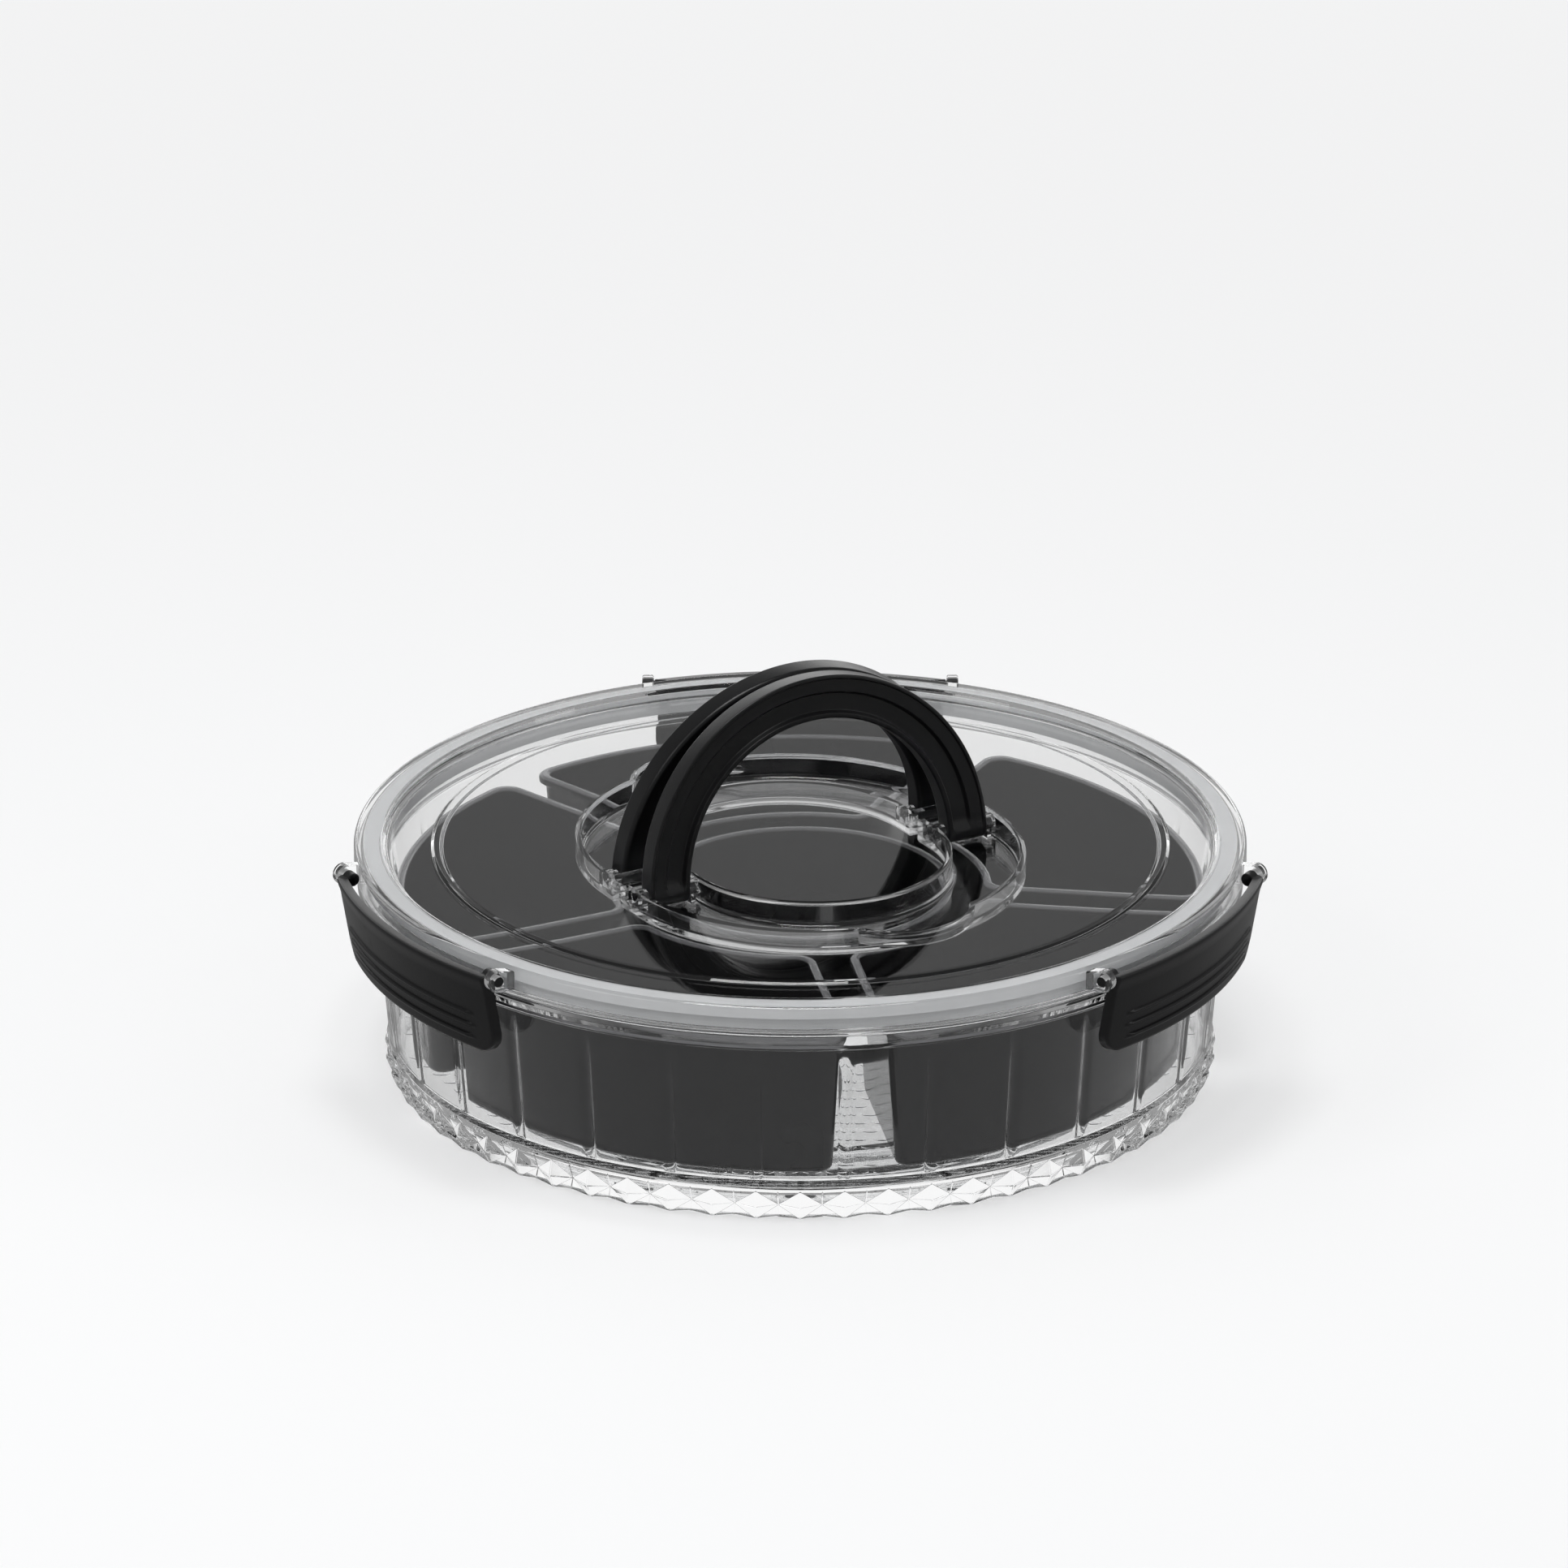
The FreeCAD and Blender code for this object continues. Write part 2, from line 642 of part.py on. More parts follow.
def make_ear(body, name, start):
    """A hinge ear on the rim for one end of a clip, start being its place along the clip's axis."""
    sketch = sketch_on(body, f"{name}_section", "XZ_Plane", f"-({start}) - ear_plate")
    root = f"({clip_axis} - ear_root)"
    low, high = f"({clip_level} - ear_radius)", f"({clip_level} + ear_radius)"
    outline(sketch, [
        (root, low), (clip_axis, low), (f"{clip_axis} + ear_radius", clip_level), (clip_axis, high),
        (root, f"{crest_top} - crest_round"),
    ], {1: ("ear_radius", 1), 2: ("ear_radius", 1)})
    circle_at(sketch, clip_axis, clip_level, "pivot_pin + pin_gap")
    return extrude(body, name, sketch, "ear_plate")


def make_handle(label, turn):
    """One half of the handle, drawn standing up on its hinge axis, then leaned in to meet the other."""
    gap_to_centre = number("handle_offset - handle_thickness / 2 - seat_gap / 2")
    lean = math.degrees(math.asin(gap_to_centre / number("handle_radius")))
    offset = (0, number("handle_offset"), number(pivot_level))
    body = new_body(label, turned(turn, offset, lean))
    inner = "(handle_radius - handle_width)"
    half = "(handle_thickness / 2)"
    bow = sketch_on(body, "bow_outline", "XZ_Plane", f"-{half}")
    outline(bow, [
        ("handle_radius", "0"), ("0", "handle_radius"), ("-handle_radius", "0"),
        (f"-{inner}", "0"), ("0", inner), (inner, "0"),
    ], {0: ("handle_radius", 1), 1: ("handle_radius", 1), 3: (inner, -1), 4: (inner, -1)})
    pad = extrude(body, "bow", bow, "handle_thickness")
    round_edges(body, "bow_edges", pad, bow_edge, "handle_round")
    for name, start in (("foot_right", inner), ("foot_left", "-handle_radius")):
        foot = sketch_on(body, f"{name}_section", "YZ_Plane", start)
        circle_at(foot, "0", "0", half)
        extrude(body, name, foot, "handle_width")
        pin = sketch_on(body, f"{name}_pin_section", "YZ_Plane", f"{start} - handle_pin_reach")
        circle_at(pin, "0", "0", "pivot_pin")
        extrude(body, f"{name}_pin", pin, "handle_width + 2 * handle_pin_reach")
    groove = sketch_on(body, "grip_groove_outline", "XZ_Plane", f"-{half}")
    middle = "(handle_radius - handle_width / 2)"
    far, near = f"({middle} + grip_groove / 2)", f"({middle} - grip_groove / 2)"
    across, up = "sin(grip_groove_angle)", "cos(grip_groove_angle)"
    rounded = "(grip_groove / 2 + flat_gap)"
    outline(groove, [
        (f"{far} * {across}", f"{far} * {up}"), ("0", far), (f"-{far} * {across}", f"{far} * {up}"),
        (f"-{near} * {across}", f"{near} * {up}"), ("0", near), (f"{near} * {across}", f"{near} * {up}"),
    ], {0: (far, 1), 1: (far, 1), 2: (rounded, 1), 3: (near, -1), 4: (near, -1), 5: (rounded, 1)})
    extrude(body, "grip_groove", groove, "grip_groove_depth", "Pocket", back=True)
    return body


def bow_edge(edge):
    """The long curved edges of a handle half."""
    if not hasattr(edge.Curve, "Radius"):
        return False
    return abs(edge.Length - edge.Curve.Radius * math.pi / 2) < 1e-3


def make_clip(label, turn):
    """A clip drawn hanging shut on the +X side of the axis, between the two ears of its hinge."""
    body = new_body(label, turned(turn))
    lean = "(clip_lean / clip_height)"
    outer = "(clip_inner_radius + clip_wall)"

    def face(level):
        return f"(clip_inner_radius - {lean} * ({clip_top} - {level}))"

    nose_top = f"({flange_bottom} - seat_gap)"
    nose_low = f"({nose_top} - nose_height)"
    nose = "(flange_radius + nose_gap)"
    nose_flat = f"({nose_top} - nose_height / 3)"
    shell = revolve(body, "clip_shell", [
        ("clip_inner_radius", clip_top), (face(nose_top), nose_top), (nose, nose_top), (nose, nose_flat),
        (face(nose_low), nose_low), (face(clip_bottom), clip_bottom),
        (f"{face(clip_bottom)} + clip_wall", clip_bottom), (outer, clip_top),
    ])
    shell.Midplane = True
    shell.setExpression("Angle", bound("2 * ear_half_angle"))
    ends = sketch_on(body, "clip_ends_outline", "XY_Plane", f"{clip_bottom} - seat_gap")
    near, far = f"({clip_axis} - clip_height)", f"({clip_axis} + clip_height)"
    for low in (clip_half, f"-{clip_half} - clip_height"):
        high = f"{low} + clip_height"
        outline(ends, [(near, low), (far, low), (far, high), (near, high)])
    doc.recompute()
    extrude(body, "clip_ends", ends, "clip_height + 2 * seat_gap", "Pocket", back=True)
    far_start = f"{clip_half} - clip_barrel_length"
    for name, start in (("barrel_near", f"-{clip_half}"), ("barrel_far", far_start)):
        barrel = sketch_on(body, f"{name}_section", "XZ_Plane", f"-({start}) - clip_barrel_length")
        circle_at(barrel, clip_axis, clip_level, "clip_barrel")
        extrude(body, name, barrel, "clip_barrel_length")
    pin_reach = "(ear_plate + seat_gap / 2)"
    for name, start in (("pin_near", f"-{clip_half} - {pin_reach}"), ("pin_far", clip_half)):
        pin = sketch_on(body, f"{name}_section", "XZ_Plane", f"-({start}) - {pin_reach}")
        circle_at(pin, clip_axis, clip_level, "pivot_pin")
        extrude(body, name, pin, pin_reach)
    return body


pieces = [
    ring_of("base_feet", "Cylinder", "foot_count", "foot_circle", "0",
            {"Radius": "foot_radius", "Height": "foot_height - flat_gap"},
            {"Radius": "pad_radius", "Height": f"{base_bottom} - flat_gap"}),
    make_base(),
    make_cage(),
    ring_of("bearing_balls", "Sphere", "ball_count", "ball_circle", ball_level, {"Radius": "ball_radius"}),
    make_deck(),
    make_washer(),
    make_screw(),
    make_tray(),
    make_cup(),
    make_seal(),
    make_lid(),
]
pieces += [make_bin(label, index) for index, label in enumerate(bin_names)]
front = number("handle_turn")
handle_step = 360 / len(handle_names)
pieces += [make_handle(label, front + handle_step * index) for index, label in enumerate(handle_names)]
clip_step = 360 / number("clip_count")
pieces += [make_clip(label, front + clip_step * (index - 1)) for index, label in enumerate(clip_names)]

doc.recompute()
for item in doc.Objects:
    if "Invalid" in item.State or "Error" in item.State:
        raise ValueError(f"{item.Label} did not compute: {item.State}")
for piece in pieces:
    if piece.Shape.isNull() or not piece.Shape.isValid():
        raise ValueError(f"{piece.Label} has no valid shape")

os.makedirs("parts", exist_ok=True)
for piece in pieces:
    piece.Shape.exportStep(f"parts/{piece.Label}.step")
    box = piece.Shape.BoundBox
    print(f"{piece.Label}: {len(piece.Shape.Solids)} solids, {piece.Shape.Volume:.0f} mm3, "
          f"z {box.ZMin:.2f} to {box.ZMax:.2f}")
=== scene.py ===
import bmesh
import bpy
import json
import math
from mathutils import Matrix, Vector

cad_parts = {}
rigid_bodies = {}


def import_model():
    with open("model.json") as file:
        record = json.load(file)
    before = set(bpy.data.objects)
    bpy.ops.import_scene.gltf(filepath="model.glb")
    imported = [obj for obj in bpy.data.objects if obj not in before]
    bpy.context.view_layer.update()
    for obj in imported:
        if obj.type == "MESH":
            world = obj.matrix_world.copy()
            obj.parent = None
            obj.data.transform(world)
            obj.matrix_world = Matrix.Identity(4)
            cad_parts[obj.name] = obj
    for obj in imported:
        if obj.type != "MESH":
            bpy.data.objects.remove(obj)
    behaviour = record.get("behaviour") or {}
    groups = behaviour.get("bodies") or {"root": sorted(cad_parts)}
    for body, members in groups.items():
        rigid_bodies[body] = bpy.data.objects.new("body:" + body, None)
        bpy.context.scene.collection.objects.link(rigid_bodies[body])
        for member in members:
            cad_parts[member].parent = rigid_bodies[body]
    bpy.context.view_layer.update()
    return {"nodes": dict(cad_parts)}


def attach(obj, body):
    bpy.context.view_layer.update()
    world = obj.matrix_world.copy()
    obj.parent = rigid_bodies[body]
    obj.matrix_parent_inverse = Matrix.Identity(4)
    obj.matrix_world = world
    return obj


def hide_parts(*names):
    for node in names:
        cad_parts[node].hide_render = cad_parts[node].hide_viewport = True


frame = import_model()
nodes = frame["nodes"]
mm = 0.001
print("frame loaded:", len(nodes), "nodes")


# shader side: a socket that takes part in sums, and one way to add any node
class Wire:
    def __init__(self, tree, socket):
        self.tree = tree
        self.socket = socket

    def maths(self, operation, other, swap=False):
        node = self.tree.nodes.new("ShaderNodeMath")
        node.operation = operation
        for i, value in enumerate((other, self) if swap else (self, other)):
            if isinstance(value, Wire):
                self.tree.links.new(value.socket, node.inputs[i])
            else:
                node.inputs[i].default_value = value
        return Wire(self.tree, node.outputs[0])

    def __add__(self, other):
        return self.maths("ADD", other)

    def __radd__(self, other):
        return self.maths("ADD", other, True)

    def __sub__(self, other):
        return self.maths("SUBTRACT", other)

    def __rsub__(self, other):
        return self.maths("SUBTRACT", other, True)

    def __mul__(self, other):
        return self.maths("MULTIPLY", other)

    def __rmul__(self, other):
        return self.maths("MULTIPLY", other, True)

    def __truediv__(self, other):
        return self.maths("DIVIDE", other)

    def __rtruediv__(self, other):
        return self.maths("DIVIDE", other, True)


class Finish:
    def __init__(self, owner):
        owner.use_nodes = True
        self.owner = owner
        self.tree = owner.node_tree
        self.tree.nodes.clear()

    def node(self, kind, settings=None, sockets=None, out=0):
        made = self.tree.nodes.new("ShaderNode" + kind)
        for key, value in (settings or {}).items():
            if key == "stops":
                ramp = made.color_ramp
                while len(ramp.elements) < len(value):
                    ramp.elements.new(0.5)
                for stop, (place, colour) in zip(ramp.elements, value):
                    stop.position = place
                    stop.color = colour
            else:
                setattr(made, key, value)
        for key, value in (sockets or {}).items():
            if isinstance(value, Wire):
                self.tree.links.new(value.socket, made.inputs[key])
            else:
                made.inputs[key].default_value = value
        return Wire(self.tree, made.outputs[out]) if made.outputs else None

    def place(self, kind="Object"):
        return self.node("TexCoord", out=kind)

    def noise(self, scale, detail=3.0, rough=0.55):
        sockets = {"Vector": self.place(), "Scale": scale, "Detail": detail, "Roughness": rough}
        return self.node("TexNoise", {"noise_dimensions": "3D"}, sockets)

    def between(self, factor, first, second):
        return self.node("Mix", {"data_type": "RGBA"}, {0: factor, 6: first, 7: second}, out=2)

    def ramp(self, factor, stops):
        # grey levels at places along the factor
        greys = [(place, (level, level, level, 1.0)) for place, level in stops]
        return self.node("ValToRGB", {"stops": greys}, {"Fac": factor})

    def bump(self, height, strength, distance):
        return self.node("Bump", {}, {"Height": height, "Strength": strength, "Distance": distance})

    def close(self, shader, kind="OutputMaterial"):
        self.node(kind, {}, {"Surface": shader})
        return self.owner


white = (1.0, 1.0, 1.0, 1.0)


def startFinish(name):
    return Finish(bpy.data.materials.new(name))


# clear plastic: nearly colourless glass-like body, fine moulding flow and a little handling haze
clearLook = {
    "flowScale": 22.0, "flowBump": 0.05, "flowDepth": 0.0006,
    "hazeScale": 60.0, "hazeRough": 0.02,
    "scuffScale": 45.0, "scuffStops": ((0.60, 0.0), (0.78, 1.0)), "scuffRough": 0.03,
    "rough": 0.006, "ior": 1.45,
    "tint": (0.982, 0.986, 0.989, 1), "shade": (0.96, 0.962, 0.965, 1),
}


def clearFinish(name, look):
    f = startFinish(name)
    flow = f.noise(look["flowScale"], detail=2.0)
    haze = f.noise(look["hazeScale"], detail=4.0, rough=0.6)
    scuff = f.ramp(f.noise(look["scuffScale"], detail=6.0, rough=0.7), look["scuffStops"])
    body = f.node("BsdfPrincipled", {}, {
        "Base Color": f.between(haze, look["tint"], white),
        "Roughness": look["rough"] + haze * look["hazeRough"] + scuff * look["scuffRough"],
        "IOR": look["ior"], "Transmission Weight": 1.0,
        "Normal": f.bump(flow, look["flowBump"], look["flowDepth"]),
    })
    through = f.node("BsdfTransparent", {}, {"Color": look["shade"]})
    shadowRay = f.node("LightPath", out="Is Shadow Ray")
    return f.close(f.node("MixShader", {}, {0: shadowRay, 1: body, 2: through}))


# moulded black, gloss or satin by its numbers; the gloss gets a painted highlight along its top rims
blackLook = {
    "ior": 1.5, "coatRough": 0.04, "wearStops": ((0.58, 0.0), (0.80, 1.0)),
    "coatAndHighlightWear": 0.2, "coatAndHighlightStops": ((0.0, 0.0), (0.6, 1.0)),  # millimetres over the height where the clear coat and the painted rim highlight start
}
glossLook = {
    **blackLook, "cloudScale": 24.0, "grainScale": 160.0, "wearScale": 70.0,
    "dark": (0.0035, 0.0035, 0.0040, 1), "light": (0.0075, 0.0075, 0.0080, 1),
    # the lighter colour on the next line is a painted highlight along the bin rims
    "paintedRimHighlight": (0.10, 0.10, 0.104, 1),
    "rough": 0.08, "cloudRough": 0.06, "wearRough": 0.03, "shine": 0.22, "coatAndHighlightFrom": 0.0618,
    "grainBump": 0.012, "grainDepth": 0.0004,
}
satinLook = {
    **blackLook, "cloudScale": 30.0, "grainScale": 1500.0, "wearScale": 110.0,
    "dark": (0.0025, 0.0025, 0.0029, 1), "light": (0.0050, 0.0050, 0.0056, 1),
    # painted rim highlight colour on the next line, never reached on the satin pieces
    "paintedRimHighlight": (0.02, 0.02, 0.021, 1),
    "rough": 0.29, "cloudRough": 0.08, "wearRough": 0.12, "shine": 0.32,
    "coatAndHighlightFrom": 1.0,  # far above the caddy, so that no part of it gets the clear coat or the painted rim highlight
    "grainBump": 0.18, "grainDepth": 0.0002,
}


def blackFinish(name, look):
    f = startFinish(name)
    cloud = f.noise(look["cloudScale"], detail=3.0)
    grain = f.noise(look["grainScale"], detail=2.0, rough=0.5)
    wear = f.ramp(f.noise(look["wearScale"], detail=7.0, rough=0.72), look["wearStops"])
    height = f.node("SeparateXYZ", {}, {0: f.place()}, out=2)
    above = (height - look["coatAndHighlightFrom"]) * (1 / mm) + wear * look["coatAndHighlightWear"]
    coatAndRimHighlight = f.ramp(above, look["coatAndHighlightStops"])  # painted highlight: lighter base colour along the top rims, together with a real clear coat there
    body = f.node("BsdfPrincipled", {}, {
        # base colour: random cloudy tone, with the painted rim highlight mixed in along the rims
        "Base Color": f.between(coatAndRimHighlight, f.between(cloud, look["dark"], look["light"]), look["paintedRimHighlight"]),
        "Roughness": look["rough"] + cloud * look["cloudRough"] + wear * look["wearRough"],
        "IOR": look["ior"], "Specular IOR Level": look["shine"],
        "Coat Weight": coatAndRimHighlight, "Coat Roughness": look["coatRough"], "Coat IOR": look["ior"],
        "Normal": f.bump(grain, look["grainBump"], look["grainDepth"]),
    })
    return f.close(body)


# milky sealing ring
sealLook = {
    "cloudScale": 90.0, "dark": (0.72, 0.73, 0.74, 1), "light": (0.80, 0.805, 0.81, 1),
    "rough": 0.38, "cloudRough": 0.2, "ior": 1.41, "clear": 0.35,
    "grainScale": 700.0, "grainBump": 0.08, "grainDepth": 0.0003,
}


def sealFinish(name, look):
    f = startFinish(name)
    cloud = f.noise(look["cloudScale"], detail=3.0)
    grain = f.noise(look["grainScale"], detail=2.0)
    body = f.node("BsdfPrincipled", {}, {
        "Base Color": f.between(cloud, look["dark"], look["light"]),
        "Roughness": look["rough"] + cloud * look["cloudRough"],
        "IOR": look["ior"], "Transmission Weight": look["clear"],
        "Normal": f.bump(grain, look["grainBump"], look["grainDepth"]),
    })
    return f.close(body)


# balls, screw and washer
steelLook = {
    "scratchScale": 1400.0, "dark": (0.60, 0.60, 0.61, 1), "light": (0.78, 0.78, 0.79, 1),
    "rough": 0.14, "scratchRough": 0.14, "scratchBump": 0.05, "scratchDepth": 0.0001,
}


def steelFinish(name, look):
    f = startFinish(name)
    scratch = f.noise(look["scratchScale"], detail=5.0, rough=0.7)
    body = f.node("BsdfPrincipled", {}, {
        "Base Color": f.between(scratch, look["dark"], look["light"]),
        "Metallic": 1.0, "Roughness": look["rough"] + scratch * look["scratchRough"],
        "Normal": f.bump(scratch, look["scratchBump"], look["scratchDepth"]),
    })
    return f.close(body)


# non-slip pads
rubberLook = {
    "speckScale": 1200.0, "dark": (0.50, 0.51, 0.52, 1), "light": (0.66, 0.67, 0.68, 1),
    "rough": 0.72, "speckRough": 0.18, "shine": 0.3, "speckBump": 0.3, "speckDepth": 0.0002,
}


def rubberFinish(name, look):
    f = startFinish(name)
    speck = f.noise(look["speckScale"], detail=4.0, rough=0.65)
    body = f.node("BsdfPrincipled", {}, {
        "Base Color": f.between(speck, look["dark"], look["light"]),
        "Roughness": look["rough"] + speck * look["speckRough"], "Specular IOR Level": look["shine"],
        "Normal": f.bump(speck, look["speckBump"], look["speckDepth"]),
    })
    return f.close(body)


clearPlastic = clearFinish("clear_plastic", clearLook)
blackGloss = blackFinish("black_gloss", glossLook)
blackSatin = blackFinish("black_satin", satinLook)
sealGrey = sealFinish("seal_silicone", sealLook)
steel = steelFinish("polished_steel", steelLook)
footRubber = rubberFinish("foot_rubber", rubberLook)
print("finishes made")


# mesh side, all in millimetres until a piece is made
edgeShare = 0.49  # the most that a rounding takes of the edge beside it
discShares = (0, 0.03, 0.15, 0.45, 0.8, 1.0)  # rings across a flat disc, close together near the middle
weldGap, tinyEdge = 2e-6, 1e-7  # metres


def rounded(corners, steps=4):
    # outline through corners (x, y, radius), each turned into a short arc
    out = []
    count = len(corners)
    for i, (x, y, radius) in enumerate(corners):
        here = Vector((x, y))
        if radius <= 0:
            out.append((x, y))
            continue
        back = Vector(corners[i - 1][:2]) - here
        ahead = Vector(corners[(i + 1) % count][:2]) - here
        half = back.angle(ahead) / 2
        cut = min(radius / math.tan(half), back.length * edgeShare, ahead.length * edgeShare)
        size = cut * math.tan(half)
        back.normalize()
        ahead.normalize()
        centre = here + (back + ahead).normalized() * (size / math.sin(half))
        first = here + back * cut - centre
        last = here + ahead * cut - centre
        start = math.atan2(first.y, first.x)
        sweep = (math.atan2(last.y, last.x) - start + math.pi) % (2 * math.pi) - math.pi
        for k in range(steps + 1):
            a = start + sweep * k / steps
            out.append((centre.x + size * math.cos(a), centre.y + size * math.sin(a)))
    return out


def flats(level, reach):
    return [(reach * share, level, 0) for share in discShares]


def quarter(steps):
    # angles of a quarter turn
    return [math.pi / 2 * k / steps for k in range(steps + 1)]


def roundOff(radius, depth):
    # how far a rounded edge falls back at a depth below it
    return radius - math.sqrt(max(radius ** 2 - (radius - depth) ** 2, 0))


def smoothStep(low, high, value):
    t = min(max((value - low) / (high - low), 0.0), 1.0)
    return t * t * (3 - 2 * t)


def ringFaces(rings, closed=False):
    # quads between closed rows of equal length, and from the last row to the first where closed
    count, rows = len(rings[0]), len(rings)
    faces = []
    for r in range(rows if closed else rows - 1):
        for i in range(count):
            j = (i + 1) % count
            s = (r + 1) % rows
            faces.append((r * count + i, r * count + j, s * count + j, s * count + i))
    return [p for ring in rings for p in ring], faces


def spin(profile, count):
    # a closed outline of (radius, height) turned about the axis
    rings = []
    for k in range(count):
        a = math.radians(360.0 * k / count)
        rings.append([(r * math.cos(a), r * math.sin(a), z) for r, z in profile])
    return ringFaces(rings, True)


def stack(loops):
    # a solid through loops [(x, y, z), ...] of equal length
    verts, faces = ringFaces(loops)
    count = len(loops[0])
    faces.append(tuple(reversed(range(count))))
    faces.append(tuple(len(verts) - count + i for i in range(count)))
    return verts, faces


def joined(*parts):
    verts, faces = [], []
    for v, f in parts:
        start = len(verts)
        verts += v
        faces += [tuple(start + i for i in face) for face in f]
    return verts, faces


def moved(part, matrix):
    return [tuple(matrix @ Vector(p)) for p in part[0]], part[1]


def turnZ(degrees):
    return Matrix.Rotation(math.radians(degrees), 4, "Z")


def copiesRound(part, count):
    return joined(*[moved(part, turnZ(360 / count * k)) for k in range(count)])


def rod(start, end, radius, count=20, ease=0.25):
    # a short pin with eased ends
    a, b = Vector(start), Vector(end)
    length = (b - a).length
    along = (b - a).normalized()
    side = along.orthogonal().normalized()
    other = along.cross(side)
    turns = [k * 2 * math.pi / count for k in range(count)]
    loops = []
    for t, r in ((0, radius - ease), (ease, radius), (length - ease, radius), (length, radius - ease)):
        mid = a + along * t
        loops.append([tuple(mid + side * (r * math.cos(k)) + other * (r * math.sin(k))) for k in turns])
    return stack(loops)


def rawObject(name, part):
    mesh = bpy.data.meshes.new(name)
    mesh.from_pydata([tuple(c * mm for c in p) for p in part[0]], [], part[1])
    bm = bmesh.new()
    bm.from_mesh(mesh)
    bmesh.ops.remove_doubles(bm, verts=bm.verts, dist=weldGap)
    bmesh.ops.dissolve_degenerate(bm, edges=bm.edges, dist=tinyEdge)
    loose = [edge for edge in bm.edges if not edge.link_faces]
    bmesh.ops.delete(bm, geom=loose, context="EDGES")
    bmesh.ops.recalc_face_normals(bm, faces=bm.faces)
    bm.to_mesh(mesh)
    bm.free()
    made = bpy.data.objects.new(name, mesh)
    bpy.context.scene.collection.objects.link(made)
    return made


def dress(made, finish, body, replaced, smooth):
    mesh = made.data
    mesh.materials.clear()
    mesh.materials.append(finish)
    mesh.shade_smooth()
    mesh.set_sharp_from_angle(angle=math.radians(smooth))
    even = made.modifiers.new("evenNormals", "WEIGHTED_NORMAL")  # flats stay flat next to their soft edges
    even.mode = "FACE_AREA"
    even.keep_sharp = True
    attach(made, body)
    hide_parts(*replaced)


def combine(target, other, how):
    # one cut or join of closed solids, kept in the mesh
    cut = target.modifiers.new("cut", "BOOLEAN")
    cut.object = other
    cut.operation = how
    cut.solver = "MANIFOLD"
    bpy.context.view_layer.update()
    ready = target.evaluated_get(bpy.context.evaluated_depsgraph_get())
    result = bpy.data.meshes.new_from_object(ready)
    target.modifiers.clear()
    old = target.data
    target.data = result
    bpy.data.meshes.remove(old)
    spare = other.data
    bpy.data.objects.remove(other)
    bpy.data.meshes.remove(spare)


# tray: smooth wall with soft upright ribs inside, rolled flange, scale-patterned floor
trayShape = {
    "floorLow": 12.95, "floorTop": 15.1, "flatReach": 131.0, "foot": 139.0, "innerFoot": 136.8,
    "wallTop": 66.0, "top": 143.6, "innerTop": 141.4, "flange": 149.0, "flangeTop": 73.0,
    "rimOut": 145.8, "rimIn": 142.8, "rimTop": 77.0, "rimFoot": 69.5, "tallWall": 20.0, "wallRows": 10,
    "ribs": 30, "ribTurn": 264.0, "ribDepth": 0.55, "ribHalf": 1.0, "ribRound": 0.8, "ribSteps": 5,
    "ribTop": 61.0, "ribFade": 5.0, "ribPast": 2.0, "ribFoot": 0.8, "ribGaps": (0.13, 0.22, 0.36),
    "wallNear": 0.6,
    "scalePitch": 7.7, "scaleRow": 6.8, "scaleReach": 132.0, "scaleWidth": 0.7, "scaleHeight": 0.28,
    "scaleSunk": 0.06, "scaleHalf": 3.05, "scaleSag": 1.35, "scaleBend": 2.6, "scaleTaper": 0.75,
    "scaleLean": 0.15, "scaleSteps": 3, "smooth": 32,
}


def trayProfile(s):
    # (radius, height) with more rows on the walls, for the ribs
    outline = rounded(flats(s["floorLow"], s["flatReach"]) + [
        (s["foot"], s["floorLow"], 1.0), (s["top"], s["wallTop"], 1.0),
        (s["flange"], s["wallTop"], 1.3), (s["flange"], s["flangeTop"], 1.3),
        (s["rimOut"], s["flangeTop"], 0.5), (s["rimOut"], s["rimTop"], 1.2),
        (s["rimIn"], s["rimTop"], 1.2), (s["rimIn"], s["rimFoot"], 1.0),
        (s["innerTop"], s["wallTop"], 1.0), (s["innerFoot"], s["floorTop"], 1.6),
    ] + flats(s["floorTop"], s["flatReach"])[::-1], 5)
    rows = s["wallRows"]
    dense = []
    for (r0, z0), (r1, z1) in zip(outline, outline[1:]):
        dense.append((r0, z0))
        if abs(z1 - z0) > s["tallWall"]:
            dense += [(r0 + (r1 - r0) * t / rows, z0 + (z1 - z0) * t / rows) for t in range(1, rows)]
    return dense + outline[-1:]


def ribDrop(s, r, z, bulge):
    # how far a rib stands in from the inner wall
    slope = (s["innerTop"] - s["innerFoot"]) / (s["wallTop"] - s["floorTop"])
    wall = s["innerFoot"] + slope * (z - s["floorTop"])
    if abs(r - wall) >= s["wallNear"] or not s["floorTop"] + s["ribFoot"] < z < s["ribTop"] + s["ribPast"]:
        return 0.0
    return s["ribDepth"] * bulge * (1 - smoothStep(s["ribTop"] - s["ribFade"], s["ribTop"], z))


